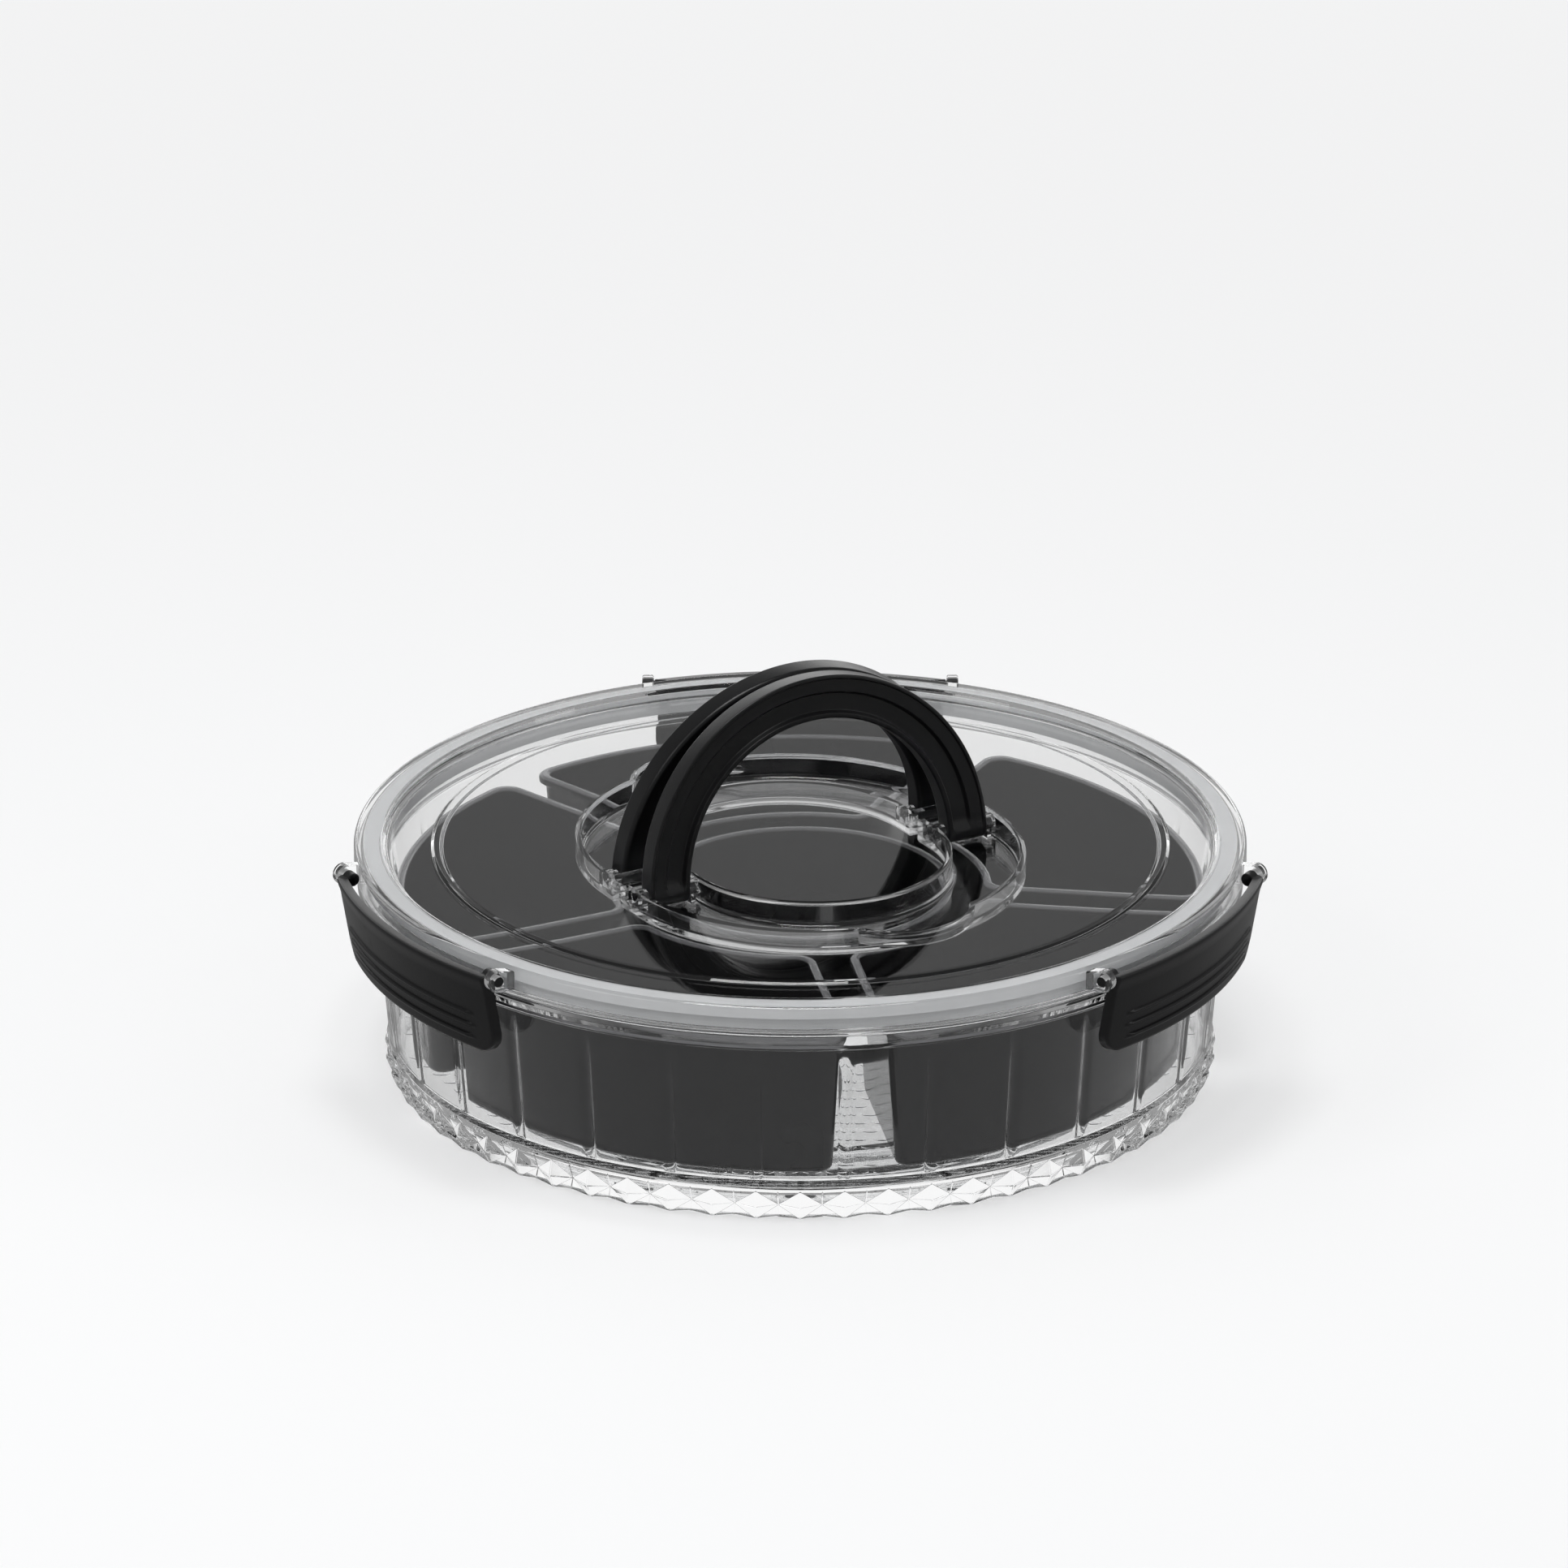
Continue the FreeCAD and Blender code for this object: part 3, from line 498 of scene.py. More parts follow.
def floorScales(s):
    # rows of small smile-shaped ridges moulded on the floor
    parts = []
    rows = int(s["scaleReach"] / s["scaleRow"]) + 1
    cols = int(s["scaleReach"] / s["scalePitch"]) + 1
    low, high = s["floorTop"] - s["scaleSunk"], s["floorTop"] + s["scaleHeight"]
    shares = [-1 + k / s["scaleSteps"] for k in range(2 * s["scaleSteps"] + 1)]
    for row in range(-rows, rows + 1):
        for col in range(-cols, cols + 1):
            cx = (col + 0.5 * (row % 2)) * s["scalePitch"]
            cy = row * s["scaleRow"]
            if math.hypot(cx, cy) > s["scaleReach"]:
                continue
            loops = []
            for t in shares:
                x = cx + t * s["scaleHalf"]
                y = cy - s["scaleSag"] + s["scaleSag"] * abs(t) ** s["scaleBend"]
                w = s["scaleWidth"] * (1 - s["scaleTaper"] * abs(t) ** 3) / 2
                loops.append([(x, y - w, low), (x, y + w, low), (x, y - s["scaleLean"] * w, high)])
            parts.append(stack(loops))
    return joined(*parts)


def makeTray(s):
    profile = trayProfile(s)
    step = 360.0 / s["ribs"]
    gaps = [share * step for share in s["ribGaps"]]
    onRib = [s["ribHalf"] * k / s["ribSteps"] for k in range(-s["ribSteps"], s["ribSteps"] + 1)]
    local = [-step / 2] + [-gap for gap in reversed(gaps)] + onRib + gaps
    rings = []
    for rib in range(s["ribs"]):
        for a in local:
            angle = math.radians(s["ribTurn"] + rib * step + a)
            c, n = math.cos(angle), math.sin(angle)
            bulge = max(0.0, math.cos(min(abs(a) / s["ribHalf"], 1.0) * math.pi / 2)) ** s["ribRound"]
            inset = [(r - ribDrop(s, r, z, bulge), z) for r, z in profile]
            rings.append([(r * c, r * n, z) for r, z in inset])
    tray = rawObject("tray_shell", ringFaces(rings, True))
    combine(tray, rawObject("floor_scales", floorScales(s)), "UNION")
    dress(tray, clearPlastic, "turntable", ["tray"], s["smooth"])


makeTray(trayShape)
print("tray made")


# turntable plate with its diamond-cut skirt
deckShape = {
    "diamonds": 60, "firstTurn": 270.0, "top": 12.9, "flatReach": 134.0, "shoulder": 138.7,
    "edge": 12.2, "edgeRadius": 139.4, "belt": 6.7, "peak": 140.4, "valley": 137.2,
    "foot": 2.0, "footOut": 138.4, "footIn": 136.6, "footNotch": 0.9, "skirtLow": 2.2, "skirtFoot": 134.6,
    "skirtRoot": 135.4, "under": 10.4, "trackOut": 111.3, "trackIn": 106.7, "trackTop": 11.3,
    "hub": 4.0, "hubLow": 4.3, "bore": 1.55, "boreTop": 10.1,
    "borderWidth": 0.38, "borderStep": 0.26, "facetsBeyond": 130.0, "smooth": 8,
}


def deckRings(s):
    # the outer skirt goes in and out by turns; its rows are shoulder, edge, belt and foot
    inner = [
        (s["skirtFoot"], s["skirtLow"]), (s["skirtRoot"], s["under"]),
        (s["trackOut"], s["under"]), (s["trackOut"], s["trackTop"]),
        (s["trackIn"], s["trackTop"]), (s["trackIn"], s["under"]),
        (s["hub"], s["under"]), (s["hub"], s["hubLow"]), (s["bore"], s["hubLow"]),
        (s["bore"], s["boreTop"]), (0.0, s["boreTop"]),
    ] + [(r, z) for r, z, soft in flats(s["top"], s["flatReach"])]
    rings = []
    for k in range(2 * s["diamonds"]):
        a = math.radians(s["firstTurn"] + k * 180.0 / s["diamonds"])
        belt = s["valley"] if k % 2 else s["peak"]
        foot = s["foot"] + (s["footNotch"] if k % 2 else 0.0)
        outer = [(s["shoulder"], s["top"]), (s["edgeRadius"], s["edge"]), (belt, s["belt"]),
                 (s["footOut"], foot), (s["footIn"], foot)]
        rings.append([(r * math.cos(a), r * math.sin(a), z) for r, z in outer + inner])
    return rings


def makeDeck(s):
    rings = deckRings(s)
    verts, quads = ringFaces(rings, True)
    width = len(rings[0])
    edgeRow, beltRow, footRow = 1, 2, 3
    faces = []
    for face in quads:
        rows = {i % width for i in face}
        if rows in ({edgeRow, beltRow}, {beltRow, footRow}):  # facets meet in diamonds
            valley = next(i for i in face if (i // width) % 2 and i % width == beltRow)
            far = next(i for i in face if not (i // width) % 2 and i % width != beltRow)
            others = [i for i in face if i not in (valley, far)]
            faces += [(valley, far, other) for other in others]
        else:
            faces.append(face)
    deck = rawObject("turntable_plate", (verts, faces))
    bm = bmesh.new()
    bm.from_mesh(deck.data)
    facets = [face for face in bm.faces if len(face.verts) == 3
              and face.calc_center_median().to_2d().length > s["facetsBeyond"] * mm]
    border, step = s["borderWidth"] * mm, s["borderStep"] * mm
    bmesh.ops.inset_individual(bm, faces=facets, thickness=border, depth=step)
    bm.to_mesh(deck.data)
    bm.free()
    dress(deck, clearPlastic, "turntable", ["deck"], s["smooth"])


makeDeck(deckShape)
print("turntable plate made")


# lift-out bins and the middle cup
binShape = {
    "turns": {"bin_right": 0, "bin_back": 1, "bin_left": 2, "bin_front_left": 3, "bin_front_right": 4},
    "firstTurn": 27.4, "count": 5, "outer": 136.5, "inner": 61.5, "cup": 51.8, "spacing": 11.0,
    "corner": 7.0, "cornerLeast": 2.2, "cornerShrink": 0.55,
    "low": 15.4, "high": 62.7, "wall": 1.8, "draft": 3.3, "ease": 2.5,
    "lip": 1.5, "lipHeight": 3.0, "lipFace": 1.4, "rimRound": 1.3, "rimFlat": 2.2, "innerRound": 1.05,
    "outerSteps": 40, "innerSteps": 16, "outerCornerSteps": 10, "innerCornerSteps": 12, "roundSteps": 5,
    "cupSteps": 144, "smooth": 40,
}


def wedgeLoop(s, inset, z):
    corner = max(s["corner"] - inset * s["cornerShrink"], s["cornerLeast"])
    half = math.pi / s["count"]
    side = s["spacing"] / 2 + inset
    outer, inner = s["outer"] - inset, s["inner"] + inset
    turnOut = half - math.asin((side + corner) / (outer - corner))
    turnIn = half - math.asin((side + corner) / (inner + corner))
    right, full = math.pi / 2, 2 * math.pi
    pts = []

    def arc(cx, cy, radius, a0, a1, steps):
        for k in range(steps + 1):
            a = a0 + (a1 - a0) * k / steps
            pts.append((cx + radius * math.cos(a), cy + radius * math.sin(a), z))

    ox, oy = (outer - corner) * math.cos(turnOut), (outer - corner) * math.sin(turnOut)
    ix, iy = (inner + corner) * math.cos(turnIn), (inner + corner) * math.sin(turnIn)
    arc(0, 0, outer, -turnOut, turnOut, s["outerSteps"])
    arc(ox, oy, corner, turnOut, half + right, s["outerCornerSteps"])
    arc(ix, iy, corner, half + right, math.pi + turnIn, s["innerCornerSteps"])
    arc(0, 0, inner, turnIn, -turnIn, s["innerSteps"])
    arc(ix, -iy, corner, math.pi - turnIn, 3 * right - half, s["innerCornerSteps"])
    arc(ox, -oy, corner, 3 * right - half, full - turnOut, s["outerCornerSteps"])
    return pts


def binLevels(s):
    # (inset from the rim's edge, height) from the rounded foot up over the rim and down inside
    foot = s["lip"] + s["draft"]
    inside = foot + s["wall"]
    shoulder = s["lip"] + s["draft"] * s["lipHeight"] / (s["high"] - s["low"])
    lip = s["high"] - s["lipHeight"]
    turns = quarter(s["roundSteps"])
    ease, rim, innerRim = s["ease"], s["rimRound"], s["innerRound"]
    rows = [(foot + ease * (1 - math.sin(a)), s["low"] + ease * (1 - math.cos(a))) for a in turns]
    rows += [(shoulder + 0.25, lip - 1.2), (shoulder, lip - 0.25), (shoulder - 0.5, lip)]
    rows += [(0.45, lip + 0.05), (0.1, lip + 0.4)]  # softened step under the lip
    rows.append((0.0, s["high"] - s["lipFace"]))
    rows += [(rim * (1 - math.cos(a)), s["high"] - rim * (1 - math.sin(a))) for a in turns[1:]]
    flat = s["rimFlat"]
    rows.append((flat, s["high"]))
    rows += [(flat + innerRim * math.sin(a), s["high"] - innerRim * (1 - math.cos(a))) for a in turns[1:]]
    floor = s["low"] + s["wall"]
    rows += [(inside + ease * (1 - math.cos(a)), floor + ease * (1 - math.sin(a))) for a in turns]
    return rows


def makeBins(s):
    for name, place in s["turns"].items():
        loops = [wedgeLoop(s, inset, z) for inset, z in binLevels(s)]
        part = moved(stack(loops), turnZ(s["firstTurn"] + place * 360.0 / s["count"]))
        dress(rawObject(name + "_shell", part), blackGloss, name, [name], s["smooth"])


def makeCup(s):
    turns = [2 * math.pi * k / s["cupSteps"] for k in range(s["cupSteps"])]
    loops = []
    for inset, z in binLevels(s):
        r = s["cup"] - inset
        loops.append([(r * math.cos(a), r * math.sin(a), z) for a in turns])
    cup = rawObject("centre_cup_shell", stack(loops))
    dress(cup, blackGloss, "centre_cup", ["centre_cup"], s["smooth"])


makeBins(binShape)
makeCup(binShape)
print("bins and cup made")


# lid: raised rim, stepped plate, sunk handle wells with finger scoops, bearing blocks and hinge ears
lidShape = {
    "turn": 210.0, "facets": 360, "plateTop": 79.95, "plate": 2.2, "stepDrop": 0.8,
    "flatTop": 119.0, "flatUnder": 116.0,
    "stepIn": 123.0, "stepOut": 124.2, "underStepIn": 120.0, "underStepOut": 121.2, "plateEdge": 139.0,
    "crestIn": 140.6, "crestTop": 81.95, "rim": 150.0, "rimLow": 73.05, "rimInside": 147.2, "sealTop": 79.95,
    "plugOut": 141.05, "plugIn": 139.05, "plugLow": 68.5,
    "offset": 10.0, "pivot": 75.95, "bore": 1.9,
    "wellFloor": 71.25, "wellWall": 2.0, "wellOuter": 68.8, "wellInner": 46.2,
    "wellBack": 4.8, "wellTail": 2.0, "wellSteps": 150, "wellInnerSteps": 120, "wellRound": 1.6,
    "scoopRadius": 24.0, "scoopCentre": 64.0, "scoopFloor": 74.95, "scoopOverlap": 3.8,
    "scoopSteps": 90, "scoopRound": 2.4,
    "shellRound": 1.4, "shellUnder": 1.1, "footSteps": 5,
    "softTop": ((0, -0.8), (0.12, -0.45), (0.8, 0.25)),  # (grow, above the plate), meets it at a crisp angle
    "blockHalf": 3.2, "blockSunk": 0.4, "blockSteps": 12,
    "blockSpans": ((45.9, 49.6), (65.4, 69.1)), "boreSpans": ((44.5, 50.2), (64.8, 68.4)),
    "clips": 3, "earAxis": 145.1825, "earLevel": 78.45, "earIn": 50.84, "earPlate": 4.0,
    "earNose": 3.8, "earSteps": 14,
    "earRoot": 6.7, "earMid": 1.5, "earSpan": 4.5, "earEase": 0.5, "earBore": (50.0, 55.6), "smooth": 32,
}


def lidProfile(s):
    top, low = s["plateTop"], s["plateTop"] - s["stepDrop"]
    underTop, underLow = top - s["plate"], low - s["plate"]
    return rounded([
        *flats(top, s["flatTop"]),
        (s["stepIn"], top, 0.9), (s["stepOut"], low, 0.9), (s["plateEdge"], low, 1.2),
        (s["crestIn"], s["crestTop"], 1.4), (s["rim"], s["crestTop"], 1.6), (s["rim"], s["rimLow"], 0.5),
        (s["rimInside"], s["rimLow"], 0.5), (s["rimInside"], s["sealTop"], 0.6),
        (s["plugOut"], s["sealTop"], 0.6), (s["plugOut"], s["plugLow"], 0.6),
        (s["plugIn"], s["plugLow"], 0.6), (s["plugIn"], underLow, 1.2),
        (s["underStepOut"], underLow, 0.9), (s["underStepIn"], underTop, 0.9),
        *flats(underTop, s["flatUnder"])[::-1],
    ], 4)


def wellLoop(s, grow, z):
    # half of the handle well: a half ring about its hinge with short square tails
    outer, inner, back = s["wellOuter"] + grow, s["wellInner"] - grow, s["wellBack"] - grow
    hinge = s["offset"]
    tail = hinge - s["wellTail"]
    out = [math.pi * k / s["wellSteps"] for k in range(s["wellSteps"] + 1)]
    home = [math.pi - math.pi * k / s["wellInnerSteps"] for k in range(s["wellInnerSteps"] + 1)]
    pts = [(outer * math.cos(a), hinge + outer * math.sin(a), z) for a in out]
    pts += [(-outer, tail, z), (-outer, back, z), (-inner, back, z), (-inner, tail, z)]
    pts += [(inner * math.cos(a), hinge + inner * math.sin(a), z) for a in home]
    pts += [(inner, tail, z), (inner, back, z), (outer, back, z), (outer, tail, z)]
    return pts


def scoopLoop(s, grow, z):
    # the finger scoop beside the well, cut off by a chord inside it
    radius = s["scoopRadius"] + grow
    chord = s["offset"] + s["wellOuter"] - s["scoopOverlap"] - s["scoopCentre"]
    start = math.atan2(chord, math.sqrt(radius ** 2 - chord ** 2))
    steps = s["scoopSteps"]
    turns = [start + (math.pi - 2 * start) * k / steps for k in range(steps + 1)]
    return [(radius * math.cos(a), s["scoopCentre"] + radius * math.sin(a), z) for a in turns]


def softFoot(s, loop, grow, radius, z):
    # loops of a rounded lower corner
    turns = quarter(s["footSteps"])
    return [loop(s, grow - radius * (1 - math.sin(t)), z + radius * (1 - math.cos(t))) for t in turns]


def bothHalves(part):
    return copiesRound(part, 2)


def bothSides(spans):
    return spans + tuple((-b, -a) for a, b in spans)


def blockPart(s, start, stop):
    # bearing block for one end of a handle half, rounded over its pin
    h, floor, steps = s["blockHalf"], s["wellFloor"] - s["blockSunk"], s["blockSteps"]
    turns = [k * math.pi / steps for k in range(steps + 1)]
    section = [(s["offset"] - h, floor), (s["offset"] + h, floor)]
    section += [(s["offset"] + h * math.cos(a), s["pivot"] + h * math.sin(a)) for a in turns]
    return stack([[(x, y, z) for y, z in section] for x in (start, stop)])


def earPart(s, start):
    # hinge ear with a rounded nose, standing off the rim
    ax, az, nose, steps = s["earAxis"], s["earLevel"], s["earNose"], s["earSteps"]
    turns = [k * math.pi / steps - math.pi / 2 for k in range(steps + 1)]
    section = [(ax + nose * math.cos(a), az + nose * math.sin(a)) for a in turns]
    root = ax - s["earRoot"]
    section += [(root + 0.7, az + 2.6), (root, az + 2.0), (root, az - nose)]
    mx, end, ease = ax - s["earMid"], start + s["earPlate"], s["earEase"]
    loops = []
    for y, inset in ((start, ease), (start + ease, 0.0), (end - ease, 0.0), (end, ease)):
        share = 1 - inset / s["earSpan"]
        loops.append([(mx + (x - mx) * share, y, az + (z - az) * share) for x, z in section])
    return stack(loops)


def sinkWells(s, lid):
    # clear shells under the plate first, then the hollows cut into them
    top, wall = s["plateTop"], s["wellWall"]
    hollows = (
        ("well", wellLoop, s["wellFloor"], s["wellRound"]),
        ("scoop", scoopLoop, s["scoopFloor"], s["scoopRound"]),
    )
    for name, loop, floor, soft in hollows:
        foot = softFoot(s, loop, wall, s["shellRound"], floor - wall)
        shell = stack(foot + [loop(s, wall, top - s["shellUnder"])])
        combine(lid, rawObject(name + "_shell", bothHalves(shell)), "UNION")
    for name, loop, floor, soft in hollows:
        foot = softFoot(s, loop, 0, soft, floor)
        hollow = stack(foot + [loop(s, grow, top + above) for grow, above in s["softTop"]])
        combine(lid, rawObject(name + "_cut", bothHalves(hollow)), "DIFFERENCE")


def addPivots(s, lid):
    blocks = joined(*[blockPart(s, a, b) for a, b in bothSides(s["blockSpans"])])
    combine(lid, rawObject("pivot_blocks", bothHalves(blocks)), "UNION")
    y, z = s["offset"], s["pivot"]
    bores = joined(*[rod((a, y, z), (b, y, z), s["bore"]) for a, b in bothSides(s["boreSpans"])])
    combine(lid, rawObject("pivot_bores", bothHalves(bores)), "DIFFERENCE")


def addEars(s, lid):
    ears = joined(earPart(s, s["earIn"]), earPart(s, -s["earIn"] - s["earPlate"]))
    combine(lid, rawObject("hinge_ears", copiesRound(ears, s["clips"])), "UNION")
    ax, az = s["earAxis"], s["earLevel"]
    near, far = s["earBore"]
    bores = joined(*[rod((ax, sign * near, az), (ax, sign * far, az), s["bore"]) for sign in (1, -1)])
    combine(lid, rawObject("ear_bores", copiesRound(bores, s["clips"])), "DIFFERENCE")


def makeLid(s):
    lid = rawObject("lid_shell", spin(lidProfile(s), s["facets"]))
    sinkWells(s, lid)
    addPivots(s, lid)
    addEars(s, lid)
    lid.data.transform(turnZ(s["turn"]))
    dress(lid, clearPlastic, "lid", ["lid"], s["smooth"])


makeLid(lidShape)
print("lid made")


# folding twin handle
handleShape = {
    "turns": {"handle_front": 210.0, "handle_rear": 30.0}, "radius": 57.5, "width": 15.0, "thick": 8.0,
    "offset": 10.0, "pivot": 75.95, "lean": 5.15, "steps": 120,
    "grooveNear": 2.0, "grooveFar": 8.8, "grooveDepth": 1.9, "grooveLeast": 0.05,
    "grooveFrom": 0.6, "grooveFull": 4.0,
    "bandShare": 0.6, "bandLeast": 0.05, "faceLeast": 0.02, "border": 1.3,
    "tail": (0.985, 0.93, 0.82, 0.66, 0.46, 0.24), "tailLeast": 0.02,
    "pin": 1.8, "pinReach": 3.2, "pinSunk": 1.0, "smooth": 38,
}


def handleSection(s, depth, squeeze):
    # (out along the radius, through the thickness): thin outer border, wide band, groove by the inner edge
    w, t = s["width"] / 2, s["thick"] / 2 * squeeze
    near, far = s["grooveNear"] - w, s["grooveFar"] - w
    face = t - depth - s["faceLeast"]
    band = t - s["bandShare"] * min(depth, 1) - s["bandLeast"]
    border = w - s["border"]
    corners = [(-w, -t, 1.6), (w, -t, 1.6), (w, t, 0.9), (border, t, 0.3), (border - 0.3, band, 0.2),
               (far + 0.3, band, 0.3), (far - 0.5, face, 0.4), (near + 0.5, face, 0.4),
               (near - 0.2, t, 0.3), (-w, t, 0.7)]
    return rounded(corners, 3)


def makeHandle(s, name, turn):
    rings = []

    def row(cx, cz, ux, uz, depth, squeeze):
        rings.append([(cx + u * ux, t, cz + u * uz) for u, t in handleSection(s, depth, squeeze)])

    def foot(sign, d):
        squeeze = math.sqrt(max(1 - d * d, s["tailLeast"]))
        row(sign * s["radius"], -s["thick"] / 2 * d, sign, 0, s["grooveLeast"], squeeze)

    for d in s["tail"]:  # rounded foot under the hinge line
        foot(1, d)
    for k in range(s["steps"] + 1):
        a = 180.0 * k / s["steps"]
        fade = smoothStep(s["grooveFrom"], s["grooveFull"], min(a, 180 - a))
        c, z = math.cos(math.radians(a)), math.sin(math.radians(a))
        row(s["radius"] * c, s["radius"] * z, c, z, s["grooveLeast"] + s["grooveDepth"] * fade, 1)
    for d in reversed(s["tail"]):
        foot(-1, d)
    near, far = s["radius"] - s["width"] / 2, s["radius"] + s["width"] / 2
    spans = ((near - s["pinReach"], near + s["pinSunk"]), (far - s["pinSunk"], far + s["pinReach"]))
    pins = [rod((sign * a, 0, 0), (sign * b, 0, 0), s["pin"]) for a, b in spans for sign in (1, -1)]
    lean = Matrix.Rotation(math.radians(s["lean"]), 4, "X")
    place = turnZ(turn) @ Matrix.Translation((0, s["offset"], s["pivot"])) @ lean
    bow = rawObject(name + "_bow", moved(joined(stack(rings), *pins), place))
    dress(bow, blackSatin, name, [name], s["smooth"])


for handleName, handleTurn in handleShape["turns"].items():
    makeHandle(handleShape, handleName, handleTurn)
print("handles made")


# swing clips
clipShape = {
    "turns": {"clip_back": 90.0, "clip_left": 210.0, "clip_right": 330.0},
    "top": 79.45, "low": 49.95, "inner": 154.5, "lean": 5.0, "wall": 3.0, "half": 50.54, "corner": 9.0,
    "ease": 1.2, "edgeEase": 1.0, "edgeShare": 0.9, "roll": 0.55, "rollFrom": 1.2, "rollTo": 5.5,
    "topRows": (0.0, 0.35, 0.9, 1.6, 2.4, 3.4, 4.6), "evenFrom": 5.6, "evenTo": 1.2, "evenStep": 0.28,
    "footRows": (0.9, 0.4, 0.12, 0.0), "halfColumns": 36,
    "nose": 149.4, "noseHigh": 65.7, "noseLow": 61.7, "noseFlat": 1.3, "noseEnd": (42.0, 46.0),
    "ridges": (63.6, 59.2, 54.8), "ridgeHigh": 0.8, "ridgeHalf": 0.85, "ridgeRound": 0.55,
    "ridgeMargin": 9.5, "ridgeWide": 60.0, "ridgeNarrow": 0.25,
    "axis": 145.1825, "level": 78.45, "barrel": 2.3, "barrelLong": 4.0,
    "pin": 1.8, "pinSunk": 1.0, "pinReach": 4.15,
    "armBack": 0.5, "armSunk": 1.2, "armRoot": 1.6, "armLow": 4.5, "armHigh": 0.9, "armEase": 0.4,
    "smooth": 40,
}


def clipLevels(s):
    levels = [s["top"] - down for down in s["topRows"]]
    z = s["top"] - s["evenFrom"]
    while z > s["low"] + s["evenTo"]:
        levels.append(z)
        z -= s["evenStep"]
    return levels + [s["low"] + up for up in s["footRows"]]


def clipHalf(s, z):
    # half the width, less near the rounded lower corners
    up = z - s["low"]
    return s["half"] if up >= s["corner"] else s["half"] - roundOff(s["corner"], up)


def clipLean(s, z):
    return s["inner"] - s["lean"] * (s["top"] - z) / (s["top"] - s["low"])


def clipInner(s, z, y):
    plain = clipLean(s, z)
    if s["noseLow"] < z < s["noseHigh"]:
        t = smoothStep(s["noseLow"], s["noseHigh"] - s["noseFlat"], z)
        plain += (s["nose"] - plain) * t * (1 - smoothStep(*s["noseEnd"], abs(y)))
    return plain


def clipOuter(s, z, y):
    plain = clipLean(s, z) + s["wall"]
    down, up = s["top"] - z, z - s["low"]
    plain += s["roll"] * (1 - smoothStep(s["rollFrom"], s["rollTo"], down))  # rolled top edge
    if down < s["ease"]:
        plain -= roundOff(s["ease"], down)
    if up < s["ease"]:
        plain -= roundOff(s["ease"], up) * s["edgeShare"]
    edge = clipHalf(s, z) - abs(y)
    if edge < s["edgeEase"]:
        plain -= roundOff(s["edgeEase"], max(edge, 0)) * s["edgeShare"]
    for ridge in s["ridges"]:
        reach = s["half"] - s["ridgeMargin"] - max(0, s["ridgeWide"] - ridge) * s["ridgeNarrow"]
        d = math.hypot(max(abs(y) - reach, 0), z - ridge) / s["ridgeHalf"]
        if d < 1:
            plain += s["ridgeHigh"] * math.cos(d * math.pi / 2) ** s["ridgeRound"]
    return plain


def clipShell(s):
    columns = s["halfColumns"]
    across = [math.sin(math.pi / 2 * (k / columns - 1)) for k in range(2 * columns + 1)]
    loops = []
    for z in clipLevels(s):
        ys = [clipHalf(s, z) * t for t in across]
        front = [(math.sqrt(clipOuter(s, z, y) ** 2 - y * y), y, z) for y in ys]
        back = [(math.sqrt(clipInner(s, z, y) ** 2 - y * y), y, z) for y in reversed(ys)]
        loops.append(front + back)
    verts, faces = ringFaces(loops)
    count, around = len(across), len(loops[0])
    for base in (0, len(verts) - around):  # close the top and bottom edges with strips
        for i in range(count - 1):
            faces.append((base + i, base + i + 1, base + around - 2 - i, base + around - 1 - i))
    return verts, faces


def clipHinge(s, sign):
    # barrel, pin and the web from the barrel to the shell, at one end
    ax, az, half = s["axis"], s["level"], s["half"]
    start, ease, root = half - s["barrelLong"], s["armEase"], ax - s["armBack"]
    barrel = rod((ax, sign * start, az), (ax, sign * half, az), s["barrel"])
    pin = rod((ax, sign * (half - s["pinSunk"]), az), (ax, sign * (half + s["pinReach"]), az), s["pin"])
    arm = []
    for y, cut in ((start, ease), (start + ease, 0.0), (half - ease, 0.0), (half, ease)):
        face = math.sqrt(s["inner"] ** 2 - y * y) + s["armSunk"]
        section = ((root, az - s["armRoot"] + cut), (face, az - s["armLow"] + cut),
                   (face, az + s["armHigh"] - cut), (root, az + s["armRoot"] - cut))
        arm.append([(x, sign * y, z) for x, z in section])
    return joined(barrel, pin, stack(arm))


def makeClip(s, name, turn):
    part = moved(joined(clipShell(s), clipHinge(s, 1), clipHinge(s, -1)), turnZ(turn))
    dress(rawObject(name + "_shell", part), blackSatin, name, [name], s["smooth"])


for clipName, clipTurn in clipShape["turns"].items():
    makeClip(clipShape, clipName, clipTurn)
print("clips made")


# CAD pieces that keep their own shape
keptFinishes = {
    "base": clearPlastic, "ball_cage": clearPlastic, "lid_seal": sealGrey, "bearing_balls": steel,
    "pivot_screw": steel, "pivot_washer": steel, "base_feet": footRubber,
}
for kept, finish in keptFinishes.items():
    keptMesh = nodes[kept].data
    keptMesh.materials.clear()
    keptMesh.materials.append(finish)
print("kept pieces finished")


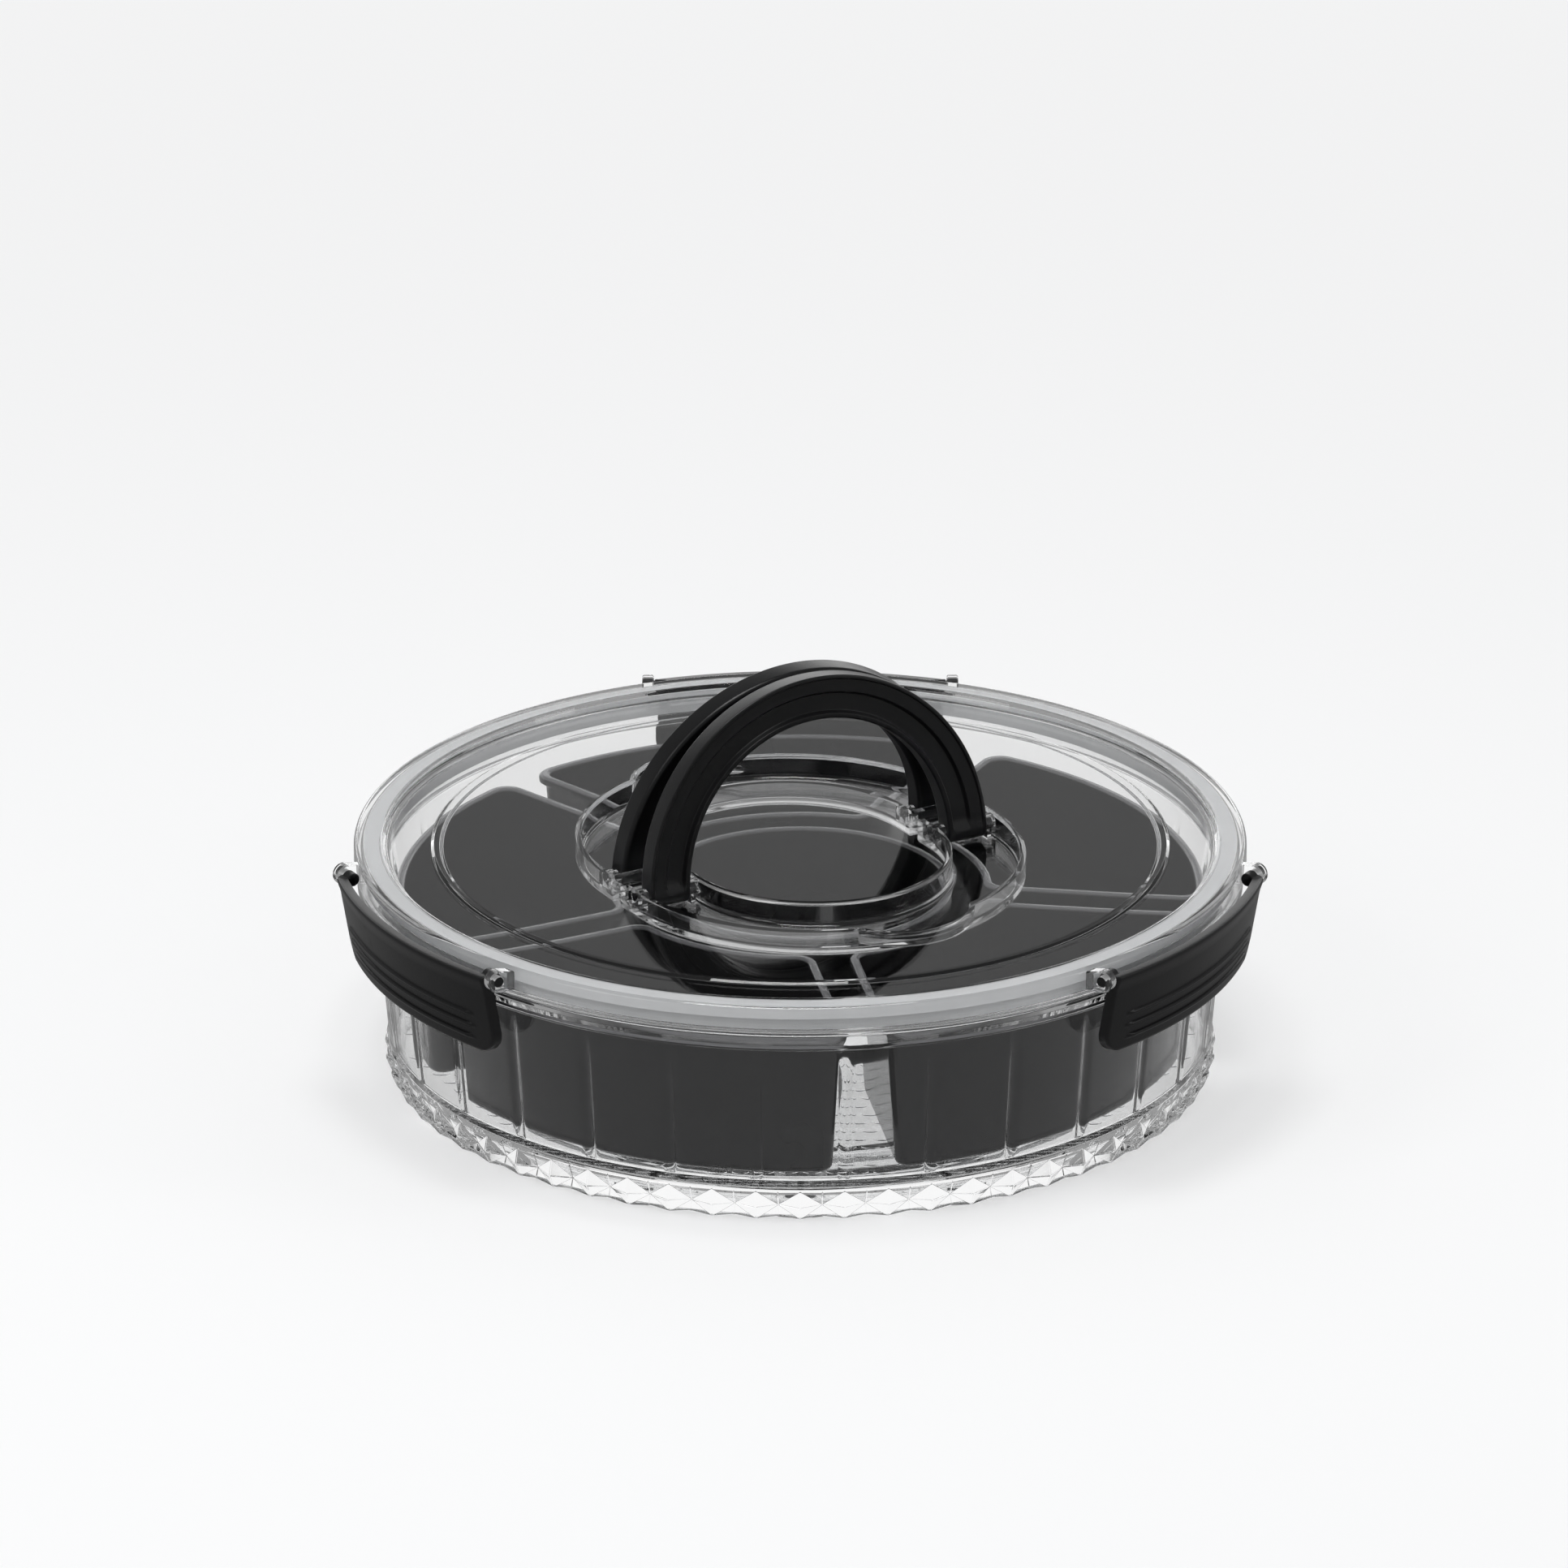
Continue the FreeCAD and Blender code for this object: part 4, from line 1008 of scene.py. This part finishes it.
# floor, light and camera, in metres
studio = {
    "floorHalf": 6.0, "floorColour": (0.93, 0.93, 0.935, 1), "floorThrough": 0.5, "floorMirrored": 0.30,
    "floorGlow": ((0.08, 0.5), (0.45, 1.0)),  # the far floor fades to white
    "skyLight": 0.42, "skyColour": (0.97, 0.985, 1.0, 1),
    "skySeen": ((0.0, 1.0), (0.34, 1.0), (0.62, 0.30), (1.0, 0.22)),
    "skyMirrored": ((0.0, 0.46), (0.10, 0.44), (0.30, 0.32), (0.60, 0.22), (1.0, 0.18)),
    "boxes": {  # place, aim, width, height, power
        "top_box": ((-0.1, -0.25, 1.65), (0, 0, 0.05), 0.7, 0.55, 13.0),
        "key_box": ((-1.2, -0.9, 1.3), (0, 0, 0.05), 0.8, 0.8, 5.0),
        "back_strip": ((0.0, 2.3, 0.52), (0, 0, 0.06), 3.2, 0.28, 8.0),
        "rim_strip": ((0.0, 2.4, 1.06), (0, 0, 0.08), 3.4, 0.5, 12.0),
        "side_box": ((1.6, -0.3, 0.8), (0, 0, 0.06), 0.35, 1.0, 3.0),
    },
    "blackOnly": "rim_strip", "bounces": 32, "glossBounces": 24,
    "elevation": 22.3, "distance": 4.0, "pixelSize": 0.000273, "aim": (0.0, 0.0, 0.073),
    "aimPixel": (986.0, 1058.0), "frame": 1932.0, "sensor": 36.0, "farthest": 50.0,
}


def seenRay(f):
    # 1 for what the camera sees, straight or by way of gloss or glass
    kinds = ("Is Camera Ray", "Is Glossy Ray", "Is Transmission Ray")
    camera, gloss, glass = [f.node("LightPath", out=kind) for kind in kinds]
    return camera.maths("MAXIMUM", gloss).maths("MAXIMUM", glass)


def mirrorRay(f):
    # 1 for a ray mirrored on a surface, unless it has crossed four clear faces or more
    mirrored = f.node("LightPath", out="Glossy Depth").maths("GREATER_THAN", 0.5)
    return mirrored * f.node("LightPath", out="Transmission Depth").maths("LESS_THAN", 3.5)


def makeFloor(s):
    h = s["floorHalf"]
    mesh = bpy.data.meshes.new("studio_floor")
    mesh.from_pydata([(-h, -h, 0), (h, -h, 0), (h, h, 0), (-h, h, 0)], [], [(0, 1, 2, 3)])
    floor = bpy.data.objects.new("studio_floor", mesh)
    bpy.context.scene.collection.objects.link(floor)
    f = startFinish("studio_floor")
    paint = f.node("BsdfDiffuse", {}, {"Color": s["floorColour"]})
    glow = f.node("Emission", {}, {"Color": white, "Strength": 1.0})
    dim = f.node("Emission", {}, {"Color": white, "Strength": s["floorMirrored"]})
    away = f.node("VectorMath", {"operation": "LENGTH"}, {0: f.place()}, out=1)
    near = f.ramp(away / h, s["floorGlow"])
    share = seenRay(f) * near + f.node("LightPath", out="Is Transmission Ray") * s["floorThrough"]
    lit = f.node("MixShader", {}, {0: share, 1: paint, 2: glow})
    mesh.materials.append(f.close(f.node("MixShader", {}, {0: mirrorRay(f), 1: lit, 2: dim})))


def makeSky(s):
    world = bpy.data.worlds.new("studio_sky")
    bpy.context.scene.world = world
    f = Finish(world)
    up = f.node("SeparateXYZ", {}, {0: f.place("Generated")}, out=2)
    backdrop, mirrored = f.ramp(up, s["skySeen"]), f.ramp(up, s["skyMirrored"])
    light = f.node("Background", {}, {"Color": s["skyColour"], "Strength": s["skyLight"]})
    shown = f.between(mirrorRay(f), backdrop, mirrored)
    seen = f.node("Background", {}, {"Color": shown, "Strength": 1.0})
    f.close(f.node("MixShader", {}, {0: seenRay(f), 1: light, 2: seen}), "OutputWorld")


def softbox(name, place, aim, wide, high, power):
    lamp = bpy.data.lights.new(name, "AREA")
    lamp.shape = "RECTANGLE"
    lamp.size, lamp.size_y, lamp.energy = wide, high, power
    box = bpy.data.objects.new(name, lamp)
    box.location = place
    box.rotation_euler = (Vector(aim) - Vector(place)).to_track_quat("-Z", "Y").to_euler()
    box.visible_camera = False
    box.visible_transmission = False
    bpy.context.scene.collection.objects.link(box)
    return box


def blackPieces():
    # what the rim light falls on, so that it leaves no veil on the lid
    group = bpy.data.collections.new("black_pieces")
    for piece in bpy.data.objects:
        finishes = piece.data.materials if piece.type == "MESH" else []
        if finishes and finishes[0] in (blackGloss, blackSatin):
            group.objects.link(piece)
    return group


def makeLights(s):
    for name, settings in s["boxes"].items():
        box = softbox(name, *settings)
        if name == s["blackOnly"]:
            box.light_linking.receiver_collection = blackPieces()


def makeCamera(s):
    data = bpy.data.cameras.new("photo_camera")
    camera = bpy.data.objects.new("photo_camera", data)
    e = math.radians(s["elevation"])
    aim = Vector(s["aim"])
    camera.location = aim + Vector((0, -math.cos(e), math.sin(e))) * s["distance"]
    camera.rotation_euler = (aim - camera.location).to_track_quat("-Z", "Y").to_euler()
    data.sensor_width = s["sensor"]
    data.lens = s["sensor"] * s["distance"] / (s["frame"] * s["pixelSize"])
    data.shift_x = (s["frame"] / 2 - s["aimPixel"][0]) / s["frame"]
    data.shift_y = (s["aimPixel"][1] - s["frame"] / 2) / s["frame"]
    data.clip_end = s["farthest"]
    bpy.context.scene.collection.objects.link(camera)
    bpy.context.scene.camera = camera


def setRays(s):
    # light stays in the clear walls for many turns, and their edges go black when it is cut short
    rays = bpy.context.scene.cycles
    rays.max_bounces = rays.transmission_bounces = s["bounces"]
    rays.glossy_bounces = s["glossBounces"]


makeFloor(studio)
makeSky(studio)
makeLights(studio)
makeCamera(studio)
setRays(studio)
bpy.context.scene.view_settings.view_transform = "Standard"
print("studio set")
